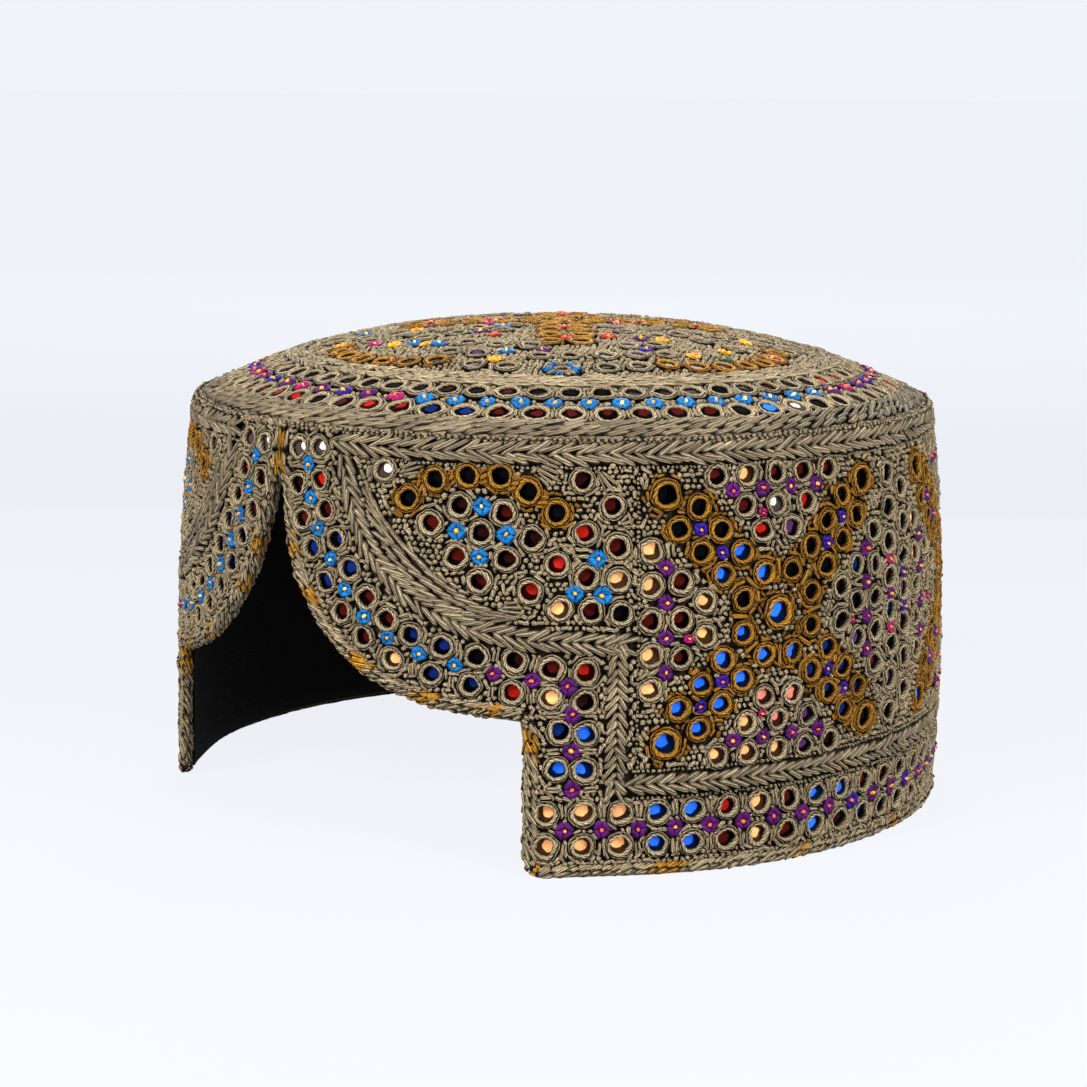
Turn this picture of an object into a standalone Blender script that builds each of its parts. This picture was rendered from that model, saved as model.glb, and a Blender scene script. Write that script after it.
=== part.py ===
"""Sindhi cap: a round embroidered cloth cap with a straight side band, a low domed crown and an
open front whose upper edge falls in two lobes.

Metres, +Z up. The cap stands on the cord of its rim at z = 0 and its front faces -Y.
A place on the side is given by along (arc length from the front centre towards +X, measured at
ARC_RADIUS), height above the floor, and out (distance outwards from the embroidered face).
"""

import math

import bmesh
import bpy
from mathutils import Vector, geometry

# Outline of the embroidered face
RIM_RADIUS = 0.0950          # at the floor
SEAM_RADIUS = 0.09196        # where side and crown meet
SEAM_HEIGHT = 0.0969
SIDE_BULGE = 0.00244         # the side's swell at half height
CROWN_RISE = 0.0189
CROWN_POWER = 2.56           # how flat the top of the dome is
ARC_RADIUS = 0.0955
AXIS_Y = -0.00095            # the open front moves the middle of the outline off the axis

# Front corners stand out a little
FLARE = 0.0016
FLARE_ANGLE = 40.0           # degrees from the front centre
FLARE_SPREAD = 7.0
FLARE_HEIGHT = 0.034

# Front opening: its side steps, and the lobes' edge from the step to the middle
STEP_ANGLE = 39.0
STEP_TOP_ROUNDING = 0.0016
RIM_CORNER_ROUNDING = 0.0040
APEX_HALF_GAP = 0.0003
APEX_RISE = 0.0030           # the slit between the lobes goes this far above the first row below
#            degrees from the front, height in m
LOBE_EDGE = ((0.9, 0.0838),
             (1.7, 0.0775),
             (2.8, 0.0711),
             (3.9, 0.0656),
             (5.4, 0.0609),
             (7.8, 0.0554),
             (10.6, 0.0504),
             (14.6, 0.0452),
             (20.0, 0.0409),
             (27.0, 0.0376),
             (33.0, 0.0363),
             (39.0, 0.0357))

# Cloth
CLOTH_FACE = 0.0006          # the cloth's face lies this far inside the embroidered face
CLOTH = 0.0018
LINING = 0.0009
GAP = 0.00035
BAND_TOP = 0.0951
CROWN_EDGE = 0.0905
CROWN_LINING_EDGE = 0.0878

# Cords and braids
EDGE_CORD_HALF = 0.0012      # half its width along the cloth
EDGE_CORD_DEPTH = 0.0026
SEAM_CORD_RADIUS = 0.0012
SEAM_CORD_AT = 0.0896        # distance from the axis along the crown
CROWN_CORD_RADIUS = 0.0007
CROWN_CORD_AT = 0.0680
BRAID_THICK = 0.0009
TOP_BRAID_HEIGHT = 0.0938
TOP_BRAID_WIDTH = 0.0030
LOWER_BRAID_HEIGHT = 0.0209
LOWER_BRAID_WIDTH = 0.0032
LOWER_BRAID_START = 54.0     # degrees from the front
LOBE_BRAID_WIDTH = 0.0042
#             along, height of the lobe braid's middle, from the top to its foot
LOBE_BRAID = ((0.0205, 0.0895),
              (0.0229, 0.0821),
              (0.0269, 0.0735),
              (0.0322, 0.0673),
              (0.0409, 0.0607),
              (0.0525, 0.0560),
              (0.0657, 0.0538),
              (0.0790, 0.0529),
              (0.0838, 0.0514),
              (0.0842, 0.0460),
              (0.0842, 0.0330),
              (0.0842, 0.0195))

# Round mirror at the middle of each star, and the thread ring that holds it
STAR_ANGLES = (73.9, 125.0, 180.0, -125.0, -73.9)
STAR_HEIGHT = 0.0579
STAR_RING_MIDDLE = 0.0037
STAR_RING_HALF = 0.0010
STAR_RING_THICK = 0.0013
STAR_MIRROR_RADIUS = 0.0023
STAR_MIRROR_THICK = 0.0006

# Fineness
ROUND_STEPS = 64             # facets round the cap
SIDE_ROWS = 6
CROWN_RINGS = (1.0, 0.94, 0.84, 0.66, 0.4)   # as parts of the crown's edge radius
CROWN_CORD_SIDES = 6
RING_SIDES = 12
LONGEST_STEP = 0.0094        # along an edge
FINE_STEP = 0.0005           # for working out an edge
BRAID_STEP = 0.0055
BEND_ALLOWED = 0.00006


def side_radius(angle_deg, height):
    """Radius of the embroidered face of the side."""
    k = height / SEAM_HEIGHT
    radius = RIM_RADIUS + (SEAM_RADIUS - RIM_RADIUS) * k + SIDE_BULGE * 4 * k * (1 - k)
    lift = max(0.0, 1 - height / FLARE_HEIGHT)
    spread = math.exp(-((abs(angle_deg) - FLARE_ANGLE) / FLARE_SPREAD) ** 2)
    return radius + FLARE * lift * lift * spread


def on_side(along, height, out=0.0):
    angle = along / ARC_RADIUS
    radius = side_radius(math.degrees(angle), height) + out
    return Vector((radius * math.sin(angle), AXIS_Y - radius * math.cos(angle), height))


def crown_height(radius):
    return SEAM_HEIGHT + CROWN_RISE * (1 - (radius / SEAM_RADIUS) ** CROWN_POWER)


def crown_profile(radius, out=0.0):
    """Point (radius, height) at a distance out from the embroidered face of the crown."""
    slope = -CROWN_RISE * CROWN_POWER / SEAM_RADIUS * (radius / SEAM_RADIUS) ** (CROWN_POWER - 1)
    length = math.hypot(1, slope)
    return radius - slope / length * out, crown_height(radius) + out / length


def degrees_to_along(angle_deg):
    return math.radians(angle_deg) * ARC_RADIUS


def clear():
    for item in list(bpy.data.objects):
        bpy.data.objects.remove(item, do_unlink=True)


def material(name, colour, roughness=0.8, metallic=0.0):
    made = bpy.data.materials.new(name)
    made.use_nodes = True
    shader = made.node_tree.nodes["Principled BSDF"]
    shader.inputs["Base Color"].default_value = (*colour, 1)
    shader.inputs["Roughness"].default_value = roughness
    shader.inputs["Metallic"].default_value = metallic
    return made


def solid(name, points, faces, look, smooth=True):
    """Make one closed object with its faces turned out."""
    mesh = bpy.data.meshes.new(name)
    mesh.from_pydata([tuple(p) for p in points], [], faces)
    work = bmesh.new()
    work.from_mesh(mesh)
    bmesh.ops.remove_doubles(work, verts=work.verts, dist=1e-6)
    bmesh.ops.recalc_face_normals(work, faces=work.faces)
    work.to_mesh(mesh)
    work.free()
    mesh.polygons.foreach_set("use_smooth", [smooth] * len(mesh.polygons))
    mesh.materials.append(look)
    item = bpy.data.objects.new(name, mesh)
    bpy.context.scene.collection.objects.link(item)
    return item


def lathe(name, profile, look):
    """Turn a closed profile of (radius, height) about the cap's axis; radius 0 makes a pole."""
    points, rings = [], []
    for radius, height in profile:
        turns = 1 if radius < 1e-9 else ROUND_STEPS
        rings.append([len(points) + i for i in range(turns)])
        for i in range(turns):
            a = 2 * math.pi * i / ROUND_STEPS
            points.append((radius * math.sin(a), AXIS_Y - radius * math.cos(a), height))
    faces = []
    for here, there in zip(rings, rings[1:] + rings[:1]):
        for i in range(ROUND_STEPS):
            j = (i + 1) % ROUND_STEPS
            corners = (here[i % len(here)], here[j % len(here)], there[j % len(there)], there[i % len(there)])
            corners = tuple(dict.fromkeys(corners))
            if len(corners) > 2:
                faces.append(corners)
    return solid(name, points, faces, look)


def smooth_line(knots, steps=8):
    """A curve through the given (along, height) knots."""
    knots = [Vector(k) for k in knots]
    ends = [2 * knots[0] - knots[1]] + knots + [2 * knots[-1] - knots[-2]]
    line = []
    for a, b, c, d in zip(ends, ends[1:], ends[2:], ends[3:]):
        for i in range(steps):
            t = i / steps
            line.append(0.5 * ((2 * b) + (c - a) * t + (2 * a - 5 * b + 4 * c - d) * t * t
                               + (3 * b - a - 3 * c + d) * t ** 3))
    line.append(knots[-1])
    return line


def arc(centre, radius, start_deg, end_deg, steps=8):
    return [Vector((centre[0] + radius * math.cos(math.radians(start_deg + (end_deg - start_deg) * i / steps)),
                    centre[1] + radius * math.sin(math.radians(start_deg + (end_deg - start_deg) * i / steps))))
            for i in range(steps + 1)]


def evenly(line, spacing):
    """The same line with points at about the given spacing."""
    lengths = [0.0]
    for a, b in zip(line, line[1:]):
        lengths.append(lengths[-1] + (b - a).length)
    count = max(2, round(lengths[-1] / spacing))
    picked, k = [], 0
    for i in range(count + 1):
        goal = lengths[-1] * i / count
        while k < len(line) - 2 and lengths[k + 1] < goal:
            k += 1
        span = max(lengths[k + 1] - lengths[k], 1e-12)
        picked.append(line[k].lerp(line[k + 1], (goal - lengths[k]) / span))
    return picked


def fewer(line, longest):
    """Fewer points on a finely spaced line: straight stretches no longer than given, bends kept."""
    picked, start = [line[0]], 0
    for end in range(2, len(line)):
        chord = line[end] - line[start]
        off = max(abs((p - line[start]).cross(chord)) / max(chord.length, 1e-9) for p in line[start + 1:end])
        if off > BEND_ALLOWED or chord.length > longest:
            start = end - 1
            picked.append(line[start])
    return picked + [line[-1]]


def free_edge():
    """The cap's whole lower edge as a closed line, from the middle of the front over +X and back."""
    step = degrees_to_along(STEP_ANGLE)
    lobe_foot = LOBE_EDGE[-1][1]
    top = LOBE_EDGE[0][1]
    lobe = smooth_line([(degrees_to_along(a), z) for a, z in LOBE_EDGE[:-1]])
    apex = [Vector((APEX_HALF_GAP, top + APEX_RISE))]
    side = (apex + lobe
            + arc((step - STEP_TOP_ROUNDING, lobe_foot - STEP_TOP_ROUNDING), STEP_TOP_ROUNDING, 90, 0)
            + arc((step + RIM_CORNER_ROUNDING, RIM_CORNER_ROUNDING), RIM_CORNER_ROUNDING, 180, 270))
    back = math.pi * ARC_RADIUS
    side += [Vector((back, 0.0))]
    even = evenly(side, FINE_STEP)
    return [Vector((-p.x, p.y)) for p in reversed(even)][1:] + even


def inset_edge(distance):
    """The free edge moved into the cloth by a distance, from the back over -X, the front and +X."""
    edge = free_edge()
    moved = []
    for i, here in enumerate(edge):
        before, after = edge[max(i - 1, 0)], edge[min(i + 1, len(edge) - 1)]
        direction = (after - before).normalized()
        place = here + Vector((-direction.y, direction.x)) * distance
        near = min((place - other).length for other in edge)
        if near > distance - 2e-5:
            moved.append(place)
    moved[0].x, moved[-1].x = -math.pi * ARC_RADIUS, math.pi * ARC_RADIUS
    return moved


def cloth_from_plan(name, edge_distance, face_out, thick, look):
    """A curved cloth wall cut to the free edge: its plan is triangulated flat, then wrapped round."""
    low = fewer(inset_edge(edge_distance), LONGEST_STEP)
    back = math.pi * ARC_RADIUS
    first = low[0].y
    high = [Vector((back - 2 * back * i / ROUND_STEPS, BAND_TOP)) for i in range(ROUND_STEPS + 1)]
    rise = [first + (BAND_TOP - first) * i / SIDE_ROWS for i in range(1, SIDE_ROWS)]
    outline = (low + [Vector((back, z)) for z in rise] + high
               + [Vector((-back, z)) for z in reversed(rise)])
    inner = []
    for i in range(1, ROUND_STEPS):
        x = -back + 2 * back * i / ROUND_STEPS
        for z in rise:
            place = Vector((x, z))
            clear_of_edge = min((place - other).length for other in outline) > 0.5 * LONGEST_STEP
            if clear_of_edge and point_inside(place, outline):
                inner.append(place)
    ring = list(range(len(outline)))
    verts, _, tris, *_ = geometry.delaunay_2d_cdt(outline + inner, [], [ring], 1, 1e-7)
    count = len(verts)
    points = [on_side(v.x, v.y, face_out) for v in verts] + [on_side(v.x, v.y, face_out - thick) for v in verts]
    faces = [tuple(t) for t in tris] + [tuple(i + count for i in reversed(t)) for t in tris]
    sides = {}
    for tri in tris:
        for a, b in zip(tri, list(tri[1:]) + [tri[0]]):
            sides[(a, b)] = sides.get((a, b), 0) + 1
    for a, b in sides:
        on_seam = abs(abs(verts[a].x) - back) < 1e-6 and abs(abs(verts[b].x) - back) < 1e-6
        if (b, a) not in sides and not on_seam:
            faces.append((b, a, a + count, b + count))
    return solid(name, points, faces, look)


def point_inside(place, outline):
    inside = False
    for a, b in zip(outline, outline[1:] + outline[:1]):
        if (a.y > place.y) != (b.y > place.y):
            if place.x < a.x + (place.y - a.y) / (b.y - a.y) * (b.x - a.x):
                inside = not inside
    return inside


def along_side(name, line, section, look, closed):
    """Run a section of (across, out) offsets along a line of (along, height) points on the side."""
    points, count, width = [], len(line), len(section)
    for i, here in enumerate(line):
        before = line[i - 1] if closed or i else here
        after = line[(i + 1) % count] if closed or i < count - 1 else here
        if closed and abs(after.x - before.x) > math.pi * ARC_RADIUS:
            turn = 2 * math.pi * ARC_RADIUS
            before = Vector((before.x - turn, before.y)) if before.x > here.x + turn / 2 else before
            after = Vector((after.x + turn, after.y)) if after.x < here.x - turn / 2 else after
        direction = (after - before).normalized()
        for across, out in section:
            place = here + Vector((-direction.y, direction.x)) * across
            points.append(on_side(place.x, place.y, out))
    faces = []
    for i in range(count if closed else count - 1):
        j = (i + 1) % count
        for k in range(width):
            m = (k + 1) % width
            faces.append((i * width + k, i * width + m, j * width + m, j * width + k))
    if not closed:
        faces += [tuple(range(width)), tuple(range((count - 1) * width, count * width))]
    return solid(name, points, faces, look)


def chamfered(half_width, low_out, high_out, cut):
    """Eight-sided section between two distances out, with cut corners."""
    return [(-half_width, low_out + cut), (-half_width + cut, low_out), (half_width - cut, low_out),
            (half_width, low_out + cut), (half_width, high_out - cut), (half_width - cut, high_out),
            (-half_width + cut, high_out), (-half_width, high_out - cut)]


def braid_section(width):
    low = -CLOTH_FACE + GAP
    return [(-width / 2, low), (width / 2, low), (width / 2, low + BRAID_THICK * 0.5),
            (0.0, low + BRAID_THICK), (-width / 2, low + BRAID_THICK * 0.5)]


def level_line(height, start_deg, end_deg, closed):
    count = round((end_deg - start_deg) / 360 * ROUND_STEPS)
    ends = count if closed else count + 1
    return [Vector((degrees_to_along(start_deg + (end_deg - start_deg) * i / count), height)) for i in range(ends)]


def make_cloth(cloth, lining):
    cord_room = 2 * EDGE_CORD_HALF + GAP
    cloth_from_plan("side_band", cord_room, -CLOTH_FACE, CLOTH, cloth)
    cloth_from_plan("side_lining", cord_room, -CLOTH_FACE - CLOTH - GAP, LINING, lining)
    shells = (("crown", CROWN_EDGE, -CLOTH_FACE, CLOTH, cloth),
              ("crown_lining", CROWN_LINING_EDGE, -CLOTH_FACE - CLOTH - GAP, LINING, lining))
    for name, edge, out, thick, look in shells:
        radii = [edge * f for f in CROWN_RINGS]
        face = [crown_profile(r, out) for r in radii] + [(0.0, crown_height(0) + out)]
        back = [(0.0, crown_height(0) + out - thick)] + [crown_profile(r, out - thick) for r in reversed(radii)]
        lathe(name, face + back, look)


def make_cords(thread):
    line = fewer(inset_edge(EDGE_CORD_HALF), LONGEST_STEP)[:-1]
    along_side("edge_cord", line, chamfered(EDGE_CORD_HALF, -EDGE_CORD_DEPTH, 0.0, EDGE_CORD_HALF / 2), thread, True)
    for name, at, radius in (("crown_seam_cord", SEAM_CORD_AT, SEAM_CORD_RADIUS),
                             ("crown_ring_cord", CROWN_CORD_AT, CROWN_CORD_RADIUS)):
        middle_r, middle_z = crown_profile(at, -CLOTH_FACE + GAP + radius)
        lathe(name, [tuple(p) for p in arc((middle_r, middle_z), radius, 0, 360, CROWN_CORD_SIDES)[:-1]], thread)


def make_braids(thread):
    along_side("band_top_braid", level_line(TOP_BRAID_HEIGHT, -180, 180, True),
               braid_section(TOP_BRAID_WIDTH), thread, True)
    along_side("lower_braid", level_line(LOWER_BRAID_HEIGHT, LOWER_BRAID_START, 360 - LOWER_BRAID_START, False),
               braid_section(LOWER_BRAID_WIDTH), thread, False)
    for name, way in (("lobe_braid_right", 1), ("lobe_braid_left", -1)):
        line = [Vector((way * p.x, p.y)) for p in evenly(smooth_line(LOBE_BRAID), BRAID_STEP)]
        along_side(name, line, braid_section(LOBE_BRAID_WIDTH), thread, False)


def make_star_mirrors(gold, glass):
    low = -CLOTH_FACE + GAP
    shoulder, top = low + 0.6 * STAR_RING_THICK, low + STAR_RING_THICK
    ring_section = [(-STAR_RING_HALF, low), (STAR_RING_HALF, low), (STAR_RING_HALF, shoulder),
                    (0.5 * STAR_RING_HALF, top), (-0.5 * STAR_RING_HALF, top), (-STAR_RING_HALF, shoulder)]
    for number, angle in enumerate(STAR_ANGLES, 1):
        middle = Vector((degrees_to_along(angle), STAR_HEIGHT))
        circle = [Vector(p) for p in arc(middle, STAR_RING_MIDDLE, 0, 360, RING_SIDES)[:-1]]
        along_side(f"star_ring_{number}", circle, ring_section, gold, True)
        rim = [Vector(p) for p in arc(middle, STAR_MIRROR_RADIUS, 0, 360, RING_SIDES)[:-1]]
        points = [on_side(p.x, p.y, low) for p in rim] + [on_side(p.x, p.y, low + STAR_MIRROR_THICK) for p in rim]
        faces = [tuple(range(RING_SIDES)), tuple(range(RING_SIDES, 2 * RING_SIDES))]
        faces += [(i, (i + 1) % RING_SIDES, (i + 1) % RING_SIDES + RING_SIDES, i + RING_SIDES)
                  for i in range(RING_SIDES)]
        solid(f"star_mirror_{number}", points, faces, glass, smooth=False)


clear()
make_cloth(material("dark_cloth", (0.05, 0.045, 0.035)), material("black_lining", (0.008, 0.008, 0.009)))
make_cords(material("khaki_thread", (0.30, 0.25, 0.17)))
make_braids(material("khaki_braid", (0.32, 0.27, 0.18)))
make_star_mirrors(material("gold_thread", (0.42, 0.20, 0.03)), material("mirror_glass", (0.75, 0.78, 0.82), 0.08, 1.0))
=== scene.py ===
"""Sindhi cap: embroidered cloth cap with small round mirrors, dressed over its solid parts.

Metres, +Z up, front towards -Y. A place on the side is (along, height): along is arc length from the
front centre towards +X, measured at ARC_RADIUS. A place on the crown is (x, y) seen from above.
Out is the distance outwards from the face of the embroidery.
"""

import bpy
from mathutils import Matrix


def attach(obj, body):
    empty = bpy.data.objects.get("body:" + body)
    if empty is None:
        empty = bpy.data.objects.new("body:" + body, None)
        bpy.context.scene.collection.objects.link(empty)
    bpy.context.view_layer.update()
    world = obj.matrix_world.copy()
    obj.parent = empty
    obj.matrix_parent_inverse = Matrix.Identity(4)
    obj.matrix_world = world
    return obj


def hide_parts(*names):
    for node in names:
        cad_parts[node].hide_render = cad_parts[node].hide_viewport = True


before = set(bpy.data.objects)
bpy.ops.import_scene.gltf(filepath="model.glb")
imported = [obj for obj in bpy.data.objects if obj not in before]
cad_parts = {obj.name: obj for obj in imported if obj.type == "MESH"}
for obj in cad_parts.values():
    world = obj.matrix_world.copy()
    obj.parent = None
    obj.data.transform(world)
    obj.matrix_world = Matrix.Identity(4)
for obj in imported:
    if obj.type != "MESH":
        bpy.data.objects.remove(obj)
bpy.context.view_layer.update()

from math import atan2, cos, degrees, hypot, pi, radians, sin

import bmesh
import bpy
import numpy as np
from mathutils import Matrix, Vector
from mathutils.kdtree import KDTree

MM = 0.001
PHOTO_WAY = 43.5        # degrees from the front to the camera, towards +X

# Outline of the embroidered face
RIM_RADIUS, SEAM_RADIUS, SEAM_HEIGHT = 0.0950, 0.09196, 0.0969
SIDE_BULGE, CROWN_RISE, CROWN_POWER = 0.00244, 0.0189, 2.56
ARC_RADIUS, AXIS_Y = 0.0955, -0.00095
FLARE, FLARE_ANGLE, FLARE_SPREAD, FLARE_HEIGHT = 0.0016, 40.0, 7.0, 0.034
BACK = pi * ARC_RADIUS

# Front opening
STEP_ANGLE, STEP_TOP_ROUNDING, RIM_CORNER_ROUNDING = 39.0, 0.0016, 0.0040
APEX_HALF_GAP, APEX_RISE = 0.0003, 0.0030
#            degrees from the front, height in m
LOBE_EDGE = ((0.9, 0.0838), (1.7, 0.0775), (2.8, 0.0711), (3.9, 0.0656), (5.4, 0.0609), (7.8, 0.0554),
             (10.6, 0.0504), (14.6, 0.0452), (20.0, 0.0409), (27.0, 0.0376), (33.0, 0.0363), (39.0, 0.0357))

# Depths of the work
CLOTH_OUT, CLOTH_INSIDE, LINING_OUT, LINING_INSIDE = -1.55 * MM, -2.5 * MM, -2.7 * MM, -3.6 * MM
GLASS_OUT, CROWN_GLASS_OUT, CROWN_RING_HIGH = -1.05 * MM, -0.4 * MM, 0.55 * MM
EDGE_CORD_HALF, EDGE_CORD_DEPTH = 1.45 * MM, 2.6 * MM


def srgb(red, green, blue):
    return tuple(c / 255 / 12.92 if c <= 10 else ((c / 255 + 0.055) / 1.055) ** 2.4
                 for c in (red, green, blue))


# Threads and petals, as seen in plain daylight, and the colours that mirrors show, which are painted
# reflections: coloured light, a white glint (w) and painted dark
KHAKI, KHAKI_PALE, KHAKI_DEEP = srgb(136, 121, 94), srgb(121, 108, 85), srgb(107, 95, 74)
GOLD, GOLD_DEEP = srgb(132, 91, 24), srgb(110, 74, 19)
PAINTED_REFLECTIONS = {"o": srgb(232, 158, 100), "b": srgb(30, 88, 206), "r": srgb(132, 20, 12), "m": srgb(54, 10, 7),
         "n": srgb(9, 26, 74), "k": srgb(5, 5, 7), "w": srgb(244, 216, 204), "p": srgb(192, 102, 90),
         "v": srgb(62, 34, 70), "d": srgb(28, 8, 7)}
PETALS = {"b": srgb(3, 72, 120), "u": srgb(54, 4, 64), "v": srgb(28, 6, 92), "g": srgb(112, 8, 62),
          "r": srgb(130, 32, 20), "y": srgb(170, 116, 14), "e": srgb(20, 70, 46)}
PETAL_HEART, PETAL_HEART_PALE, PETAL_HEART_WARM = srgb(226, 148, 36), srgb(236, 196, 104), srgb(222, 92, 34)

rng = np.random.default_rng(7)


# The cap's two surfaces

def side(along, height, out):
    angle = np.asarray(along) / ARC_RADIUS
    k = np.asarray(height) / SEAM_HEIGHT
    radius = RIM_RADIUS + (SEAM_RADIUS - RIM_RADIUS) * k + SIDE_BULGE * 4 * k * (1 - k)
    lift = np.maximum(0.0, 1 - np.asarray(height) / FLARE_HEIGHT)
    spread = np.exp(-((np.abs(np.degrees(angle)) - FLARE_ANGLE) / FLARE_SPREAD) ** 2)
    radius = radius + FLARE * lift * lift * spread + out
    return np.stack([radius * np.sin(angle), AXIS_Y - radius * np.cos(angle), height + 0 * angle], -1)


def crown(x, y, out):
    x, y = np.asarray(x, float), np.asarray(y, float)
    r = np.maximum(np.hypot(x, y), 1e-6)
    z = SEAM_HEIGHT + CROWN_RISE * (1 - (r / SEAM_RADIUS) ** CROWN_POWER)
    slope = -CROWN_RISE * CROWN_POWER / SEAM_RADIUS * (r / SEAM_RADIUS) ** (CROWN_POWER - 1)
    length = np.hypot(1, slope)
    push = -slope / length * out
    return np.stack([x * (1 + push / r), AXIS_Y + y * (1 + push / r), z + out / length], -1)


def unit(v):
    return v / np.maximum(np.linalg.norm(v, axis=-1, keepdims=True), 1e-12)


def mm(*sizes):
    return [size * MM for size in sizes]


# Places for repeated shapes, and lines for them to follow

class Places:
    """Where each copy of one small shape goes, with its size and colours."""

    def __init__(self):
        self.place, self.facing, self.way, self.size, self.tint, self.mark = [], [], [], [], [], []

    def put(self, place, facing, way, size, tint, mark=(0.0, 0.0, 0.0)):
        for kept, value in zip((self.place, self.facing, self.way, self.size, self.tint, self.mark),
                               (place, facing, way, size, tint, mark)):
            kept.append(tuple(value))

    def on(self, surface, u, v, out, turn, *looks):
        """A copy that faces out of a surface, turned from the surface's first direction."""
        step = 1e-4
        place = surface(u, v, out)
        across, up = unit(surface(u + step, v, out) - place), unit(surface(u, v + step, out) - place)
        facing = unit(np.cross(across, up))
        self.put(place, facing, cos(turn) * across + sin(turn) * unit(np.cross(facing, across)), *looks)


class Cover:
    """Room that is taken on a surface, as discs, so that filling stitches keep off it."""

    def __init__(self):
        self.discs = []

    def add(self, u, v, radius, gold=False):
        for turn in (-2 * BACK, 0.0, 2 * BACK):
            if abs(u + turn) < BACK + 5 * MM:
                self.discs.append((u + turn, v, radius, gold))

    def ready(self):
        self.tree = KDTree(len(self.discs))
        for i, (u, v, *_) in enumerate(self.discs):
            self.tree.insert((u, v, 0.0), i)
        self.tree.balance()
        self.widest = max(d[2] for d in self.discs)

    def nearest(self, u, v, reach=0.0022):
        """Free distance to the nearest disc, the way to its centre, and whether it is gold."""
        best, toward, gold = reach, 0.0, False
        for place, i, distance in self.tree.find_range((u, v, 0.0), self.widest + reach):
            free = distance - self.discs[i][2]
            if free < best:
                best, toward, gold = free, atan2(place[1] - v, place[0] - u), self.discs[i][3]
        return best, toward, gold


def evenly(line, spacing):
    """Points at about the given spacing along a line, as (u, v, direction)."""
    line = np.asarray(line, float)
    length = np.concatenate([[0], np.cumsum(np.linalg.norm(np.diff(line, axis=0), axis=1))])
    goals = np.linspace(0, length[-1], max(2, int(round(length[-1] / spacing))) + 1)
    u, v = np.interp(goals, length, line[:, 0]), np.interp(goals, length, line[:, 1])
    return u, v, np.arctan2(np.gradient(v), np.gradient(u))


def smooth_line(knots, steps=8):
    knots = [np.array(k, float) for k in knots]
    ends = [2 * knots[0] - knots[1]] + knots + [2 * knots[-1] - knots[-2]]
    line = []
    for a, b, c, d in zip(ends, ends[1:], ends[2:], ends[3:]):
        for t in (i / steps for i in range(steps)):
            line.append(0.5 * ((2 * b) + (c - a) * t + (2 * a - 5 * b + 4 * c - d) * t * t
                               + (3 * b - a - 3 * c + d) * t ** 3))
    return line + [knots[-1]]


def arc(x, y, radius, start_deg, end_deg, steps=8):
    turns = [radians(start_deg + (end_deg - start_deg) * i / steps) for i in range(steps + 1)]
    return [np.array((x + radius * cos(a), y + radius * sin(a))) for a in turns]


def at_angle(angle_deg):
    return radians(angle_deg) * ARC_RADIUS


def free_edge():
    """The cap's whole lower edge, from the back over -X and the front to the back over +X."""
    step, foot = at_angle(STEP_ANGLE), LOBE_EDGE[-1][1]
    half = ([np.array((APEX_HALF_GAP, LOBE_EDGE[0][1] + APEX_RISE))]
            + smooth_line([(at_angle(a), z) for a, z in LOBE_EDGE[:-1]])
            + arc(step - STEP_TOP_ROUNDING, foot - STEP_TOP_ROUNDING, STEP_TOP_ROUNDING, 90, 0)
            + arc(step + RIM_CORNER_ROUNDING, RIM_CORNER_ROUNDING, RIM_CORNER_ROUNDING, 180, 270)
            + [np.array((BACK, 0.0))])
    u, v, _ = evenly(half, 0.5 * MM)
    return np.concatenate([np.stack([-u[::-1], v[::-1]], -1)[:-1], np.stack([u, v], -1)])


def inset_edge(distance):
    """The free edge moved into the cloth by a distance."""
    edge = free_edge()
    ahead = unit(np.gradient(edge, axis=0))
    moved = edge + np.stack([-ahead[:, 1], ahead[:, 0]], -1) * distance
    near = np.min(np.linalg.norm(moved[:, None] - edge[None], axis=2), axis=1)
    moved = moved[near > distance - 3e-5]
    moved[0, 0], moved[-1, 0] = -BACK, BACK
    return moved


# What the needle made, as lists of places

khaki_rings, gold_rings, glass, flowers = Places(), Places(), Places(), Places()
khaki_stitches, gold_stitches = Places(), Places()
BRAIDS = {"band_top_braid": "band_top_braid", "lower_braid": "lower_braid",
          "lobe_braid_left": "lobe_braid_left", "lobe_braid_right": "lobe_braid_right",
          "crown_ring": "crown_ring_cord"}      # its places, and the solid that it takes the place of
braid_places = {name: Places() for name in BRAIDS}
knot_places = {name: Places() for name in ("left_knots", "right_knots", "crown_knots")}
cord_places = {name: Places() for name in ("edge_cord_work", "seam_cord_work")}
covers = {side: Cover(), crown: Cover()}
outlined = []
PLAIN_RING_WIDER, GLASS_SHARE = 1.07, 0.6


def vary(colour, amount):
    return tuple(np.clip(np.array(colour) * (1 + amount * rng.uniform(-1, 1)), 0, 1))


def painted_reflection_way(surface, u):
    """Which way the painted reflection on a small mirror lies in its ring; painted shade takes the other
    side.
    """
    if surface is crown:
        return radians(90 + PHOTO_WAY)
    seen = (degrees(u / ARC_RADIUS) - PHOTO_WAY + 180) % 360 - 180
    return pi - 0.6 if seen > 0 else 0.6


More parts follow.
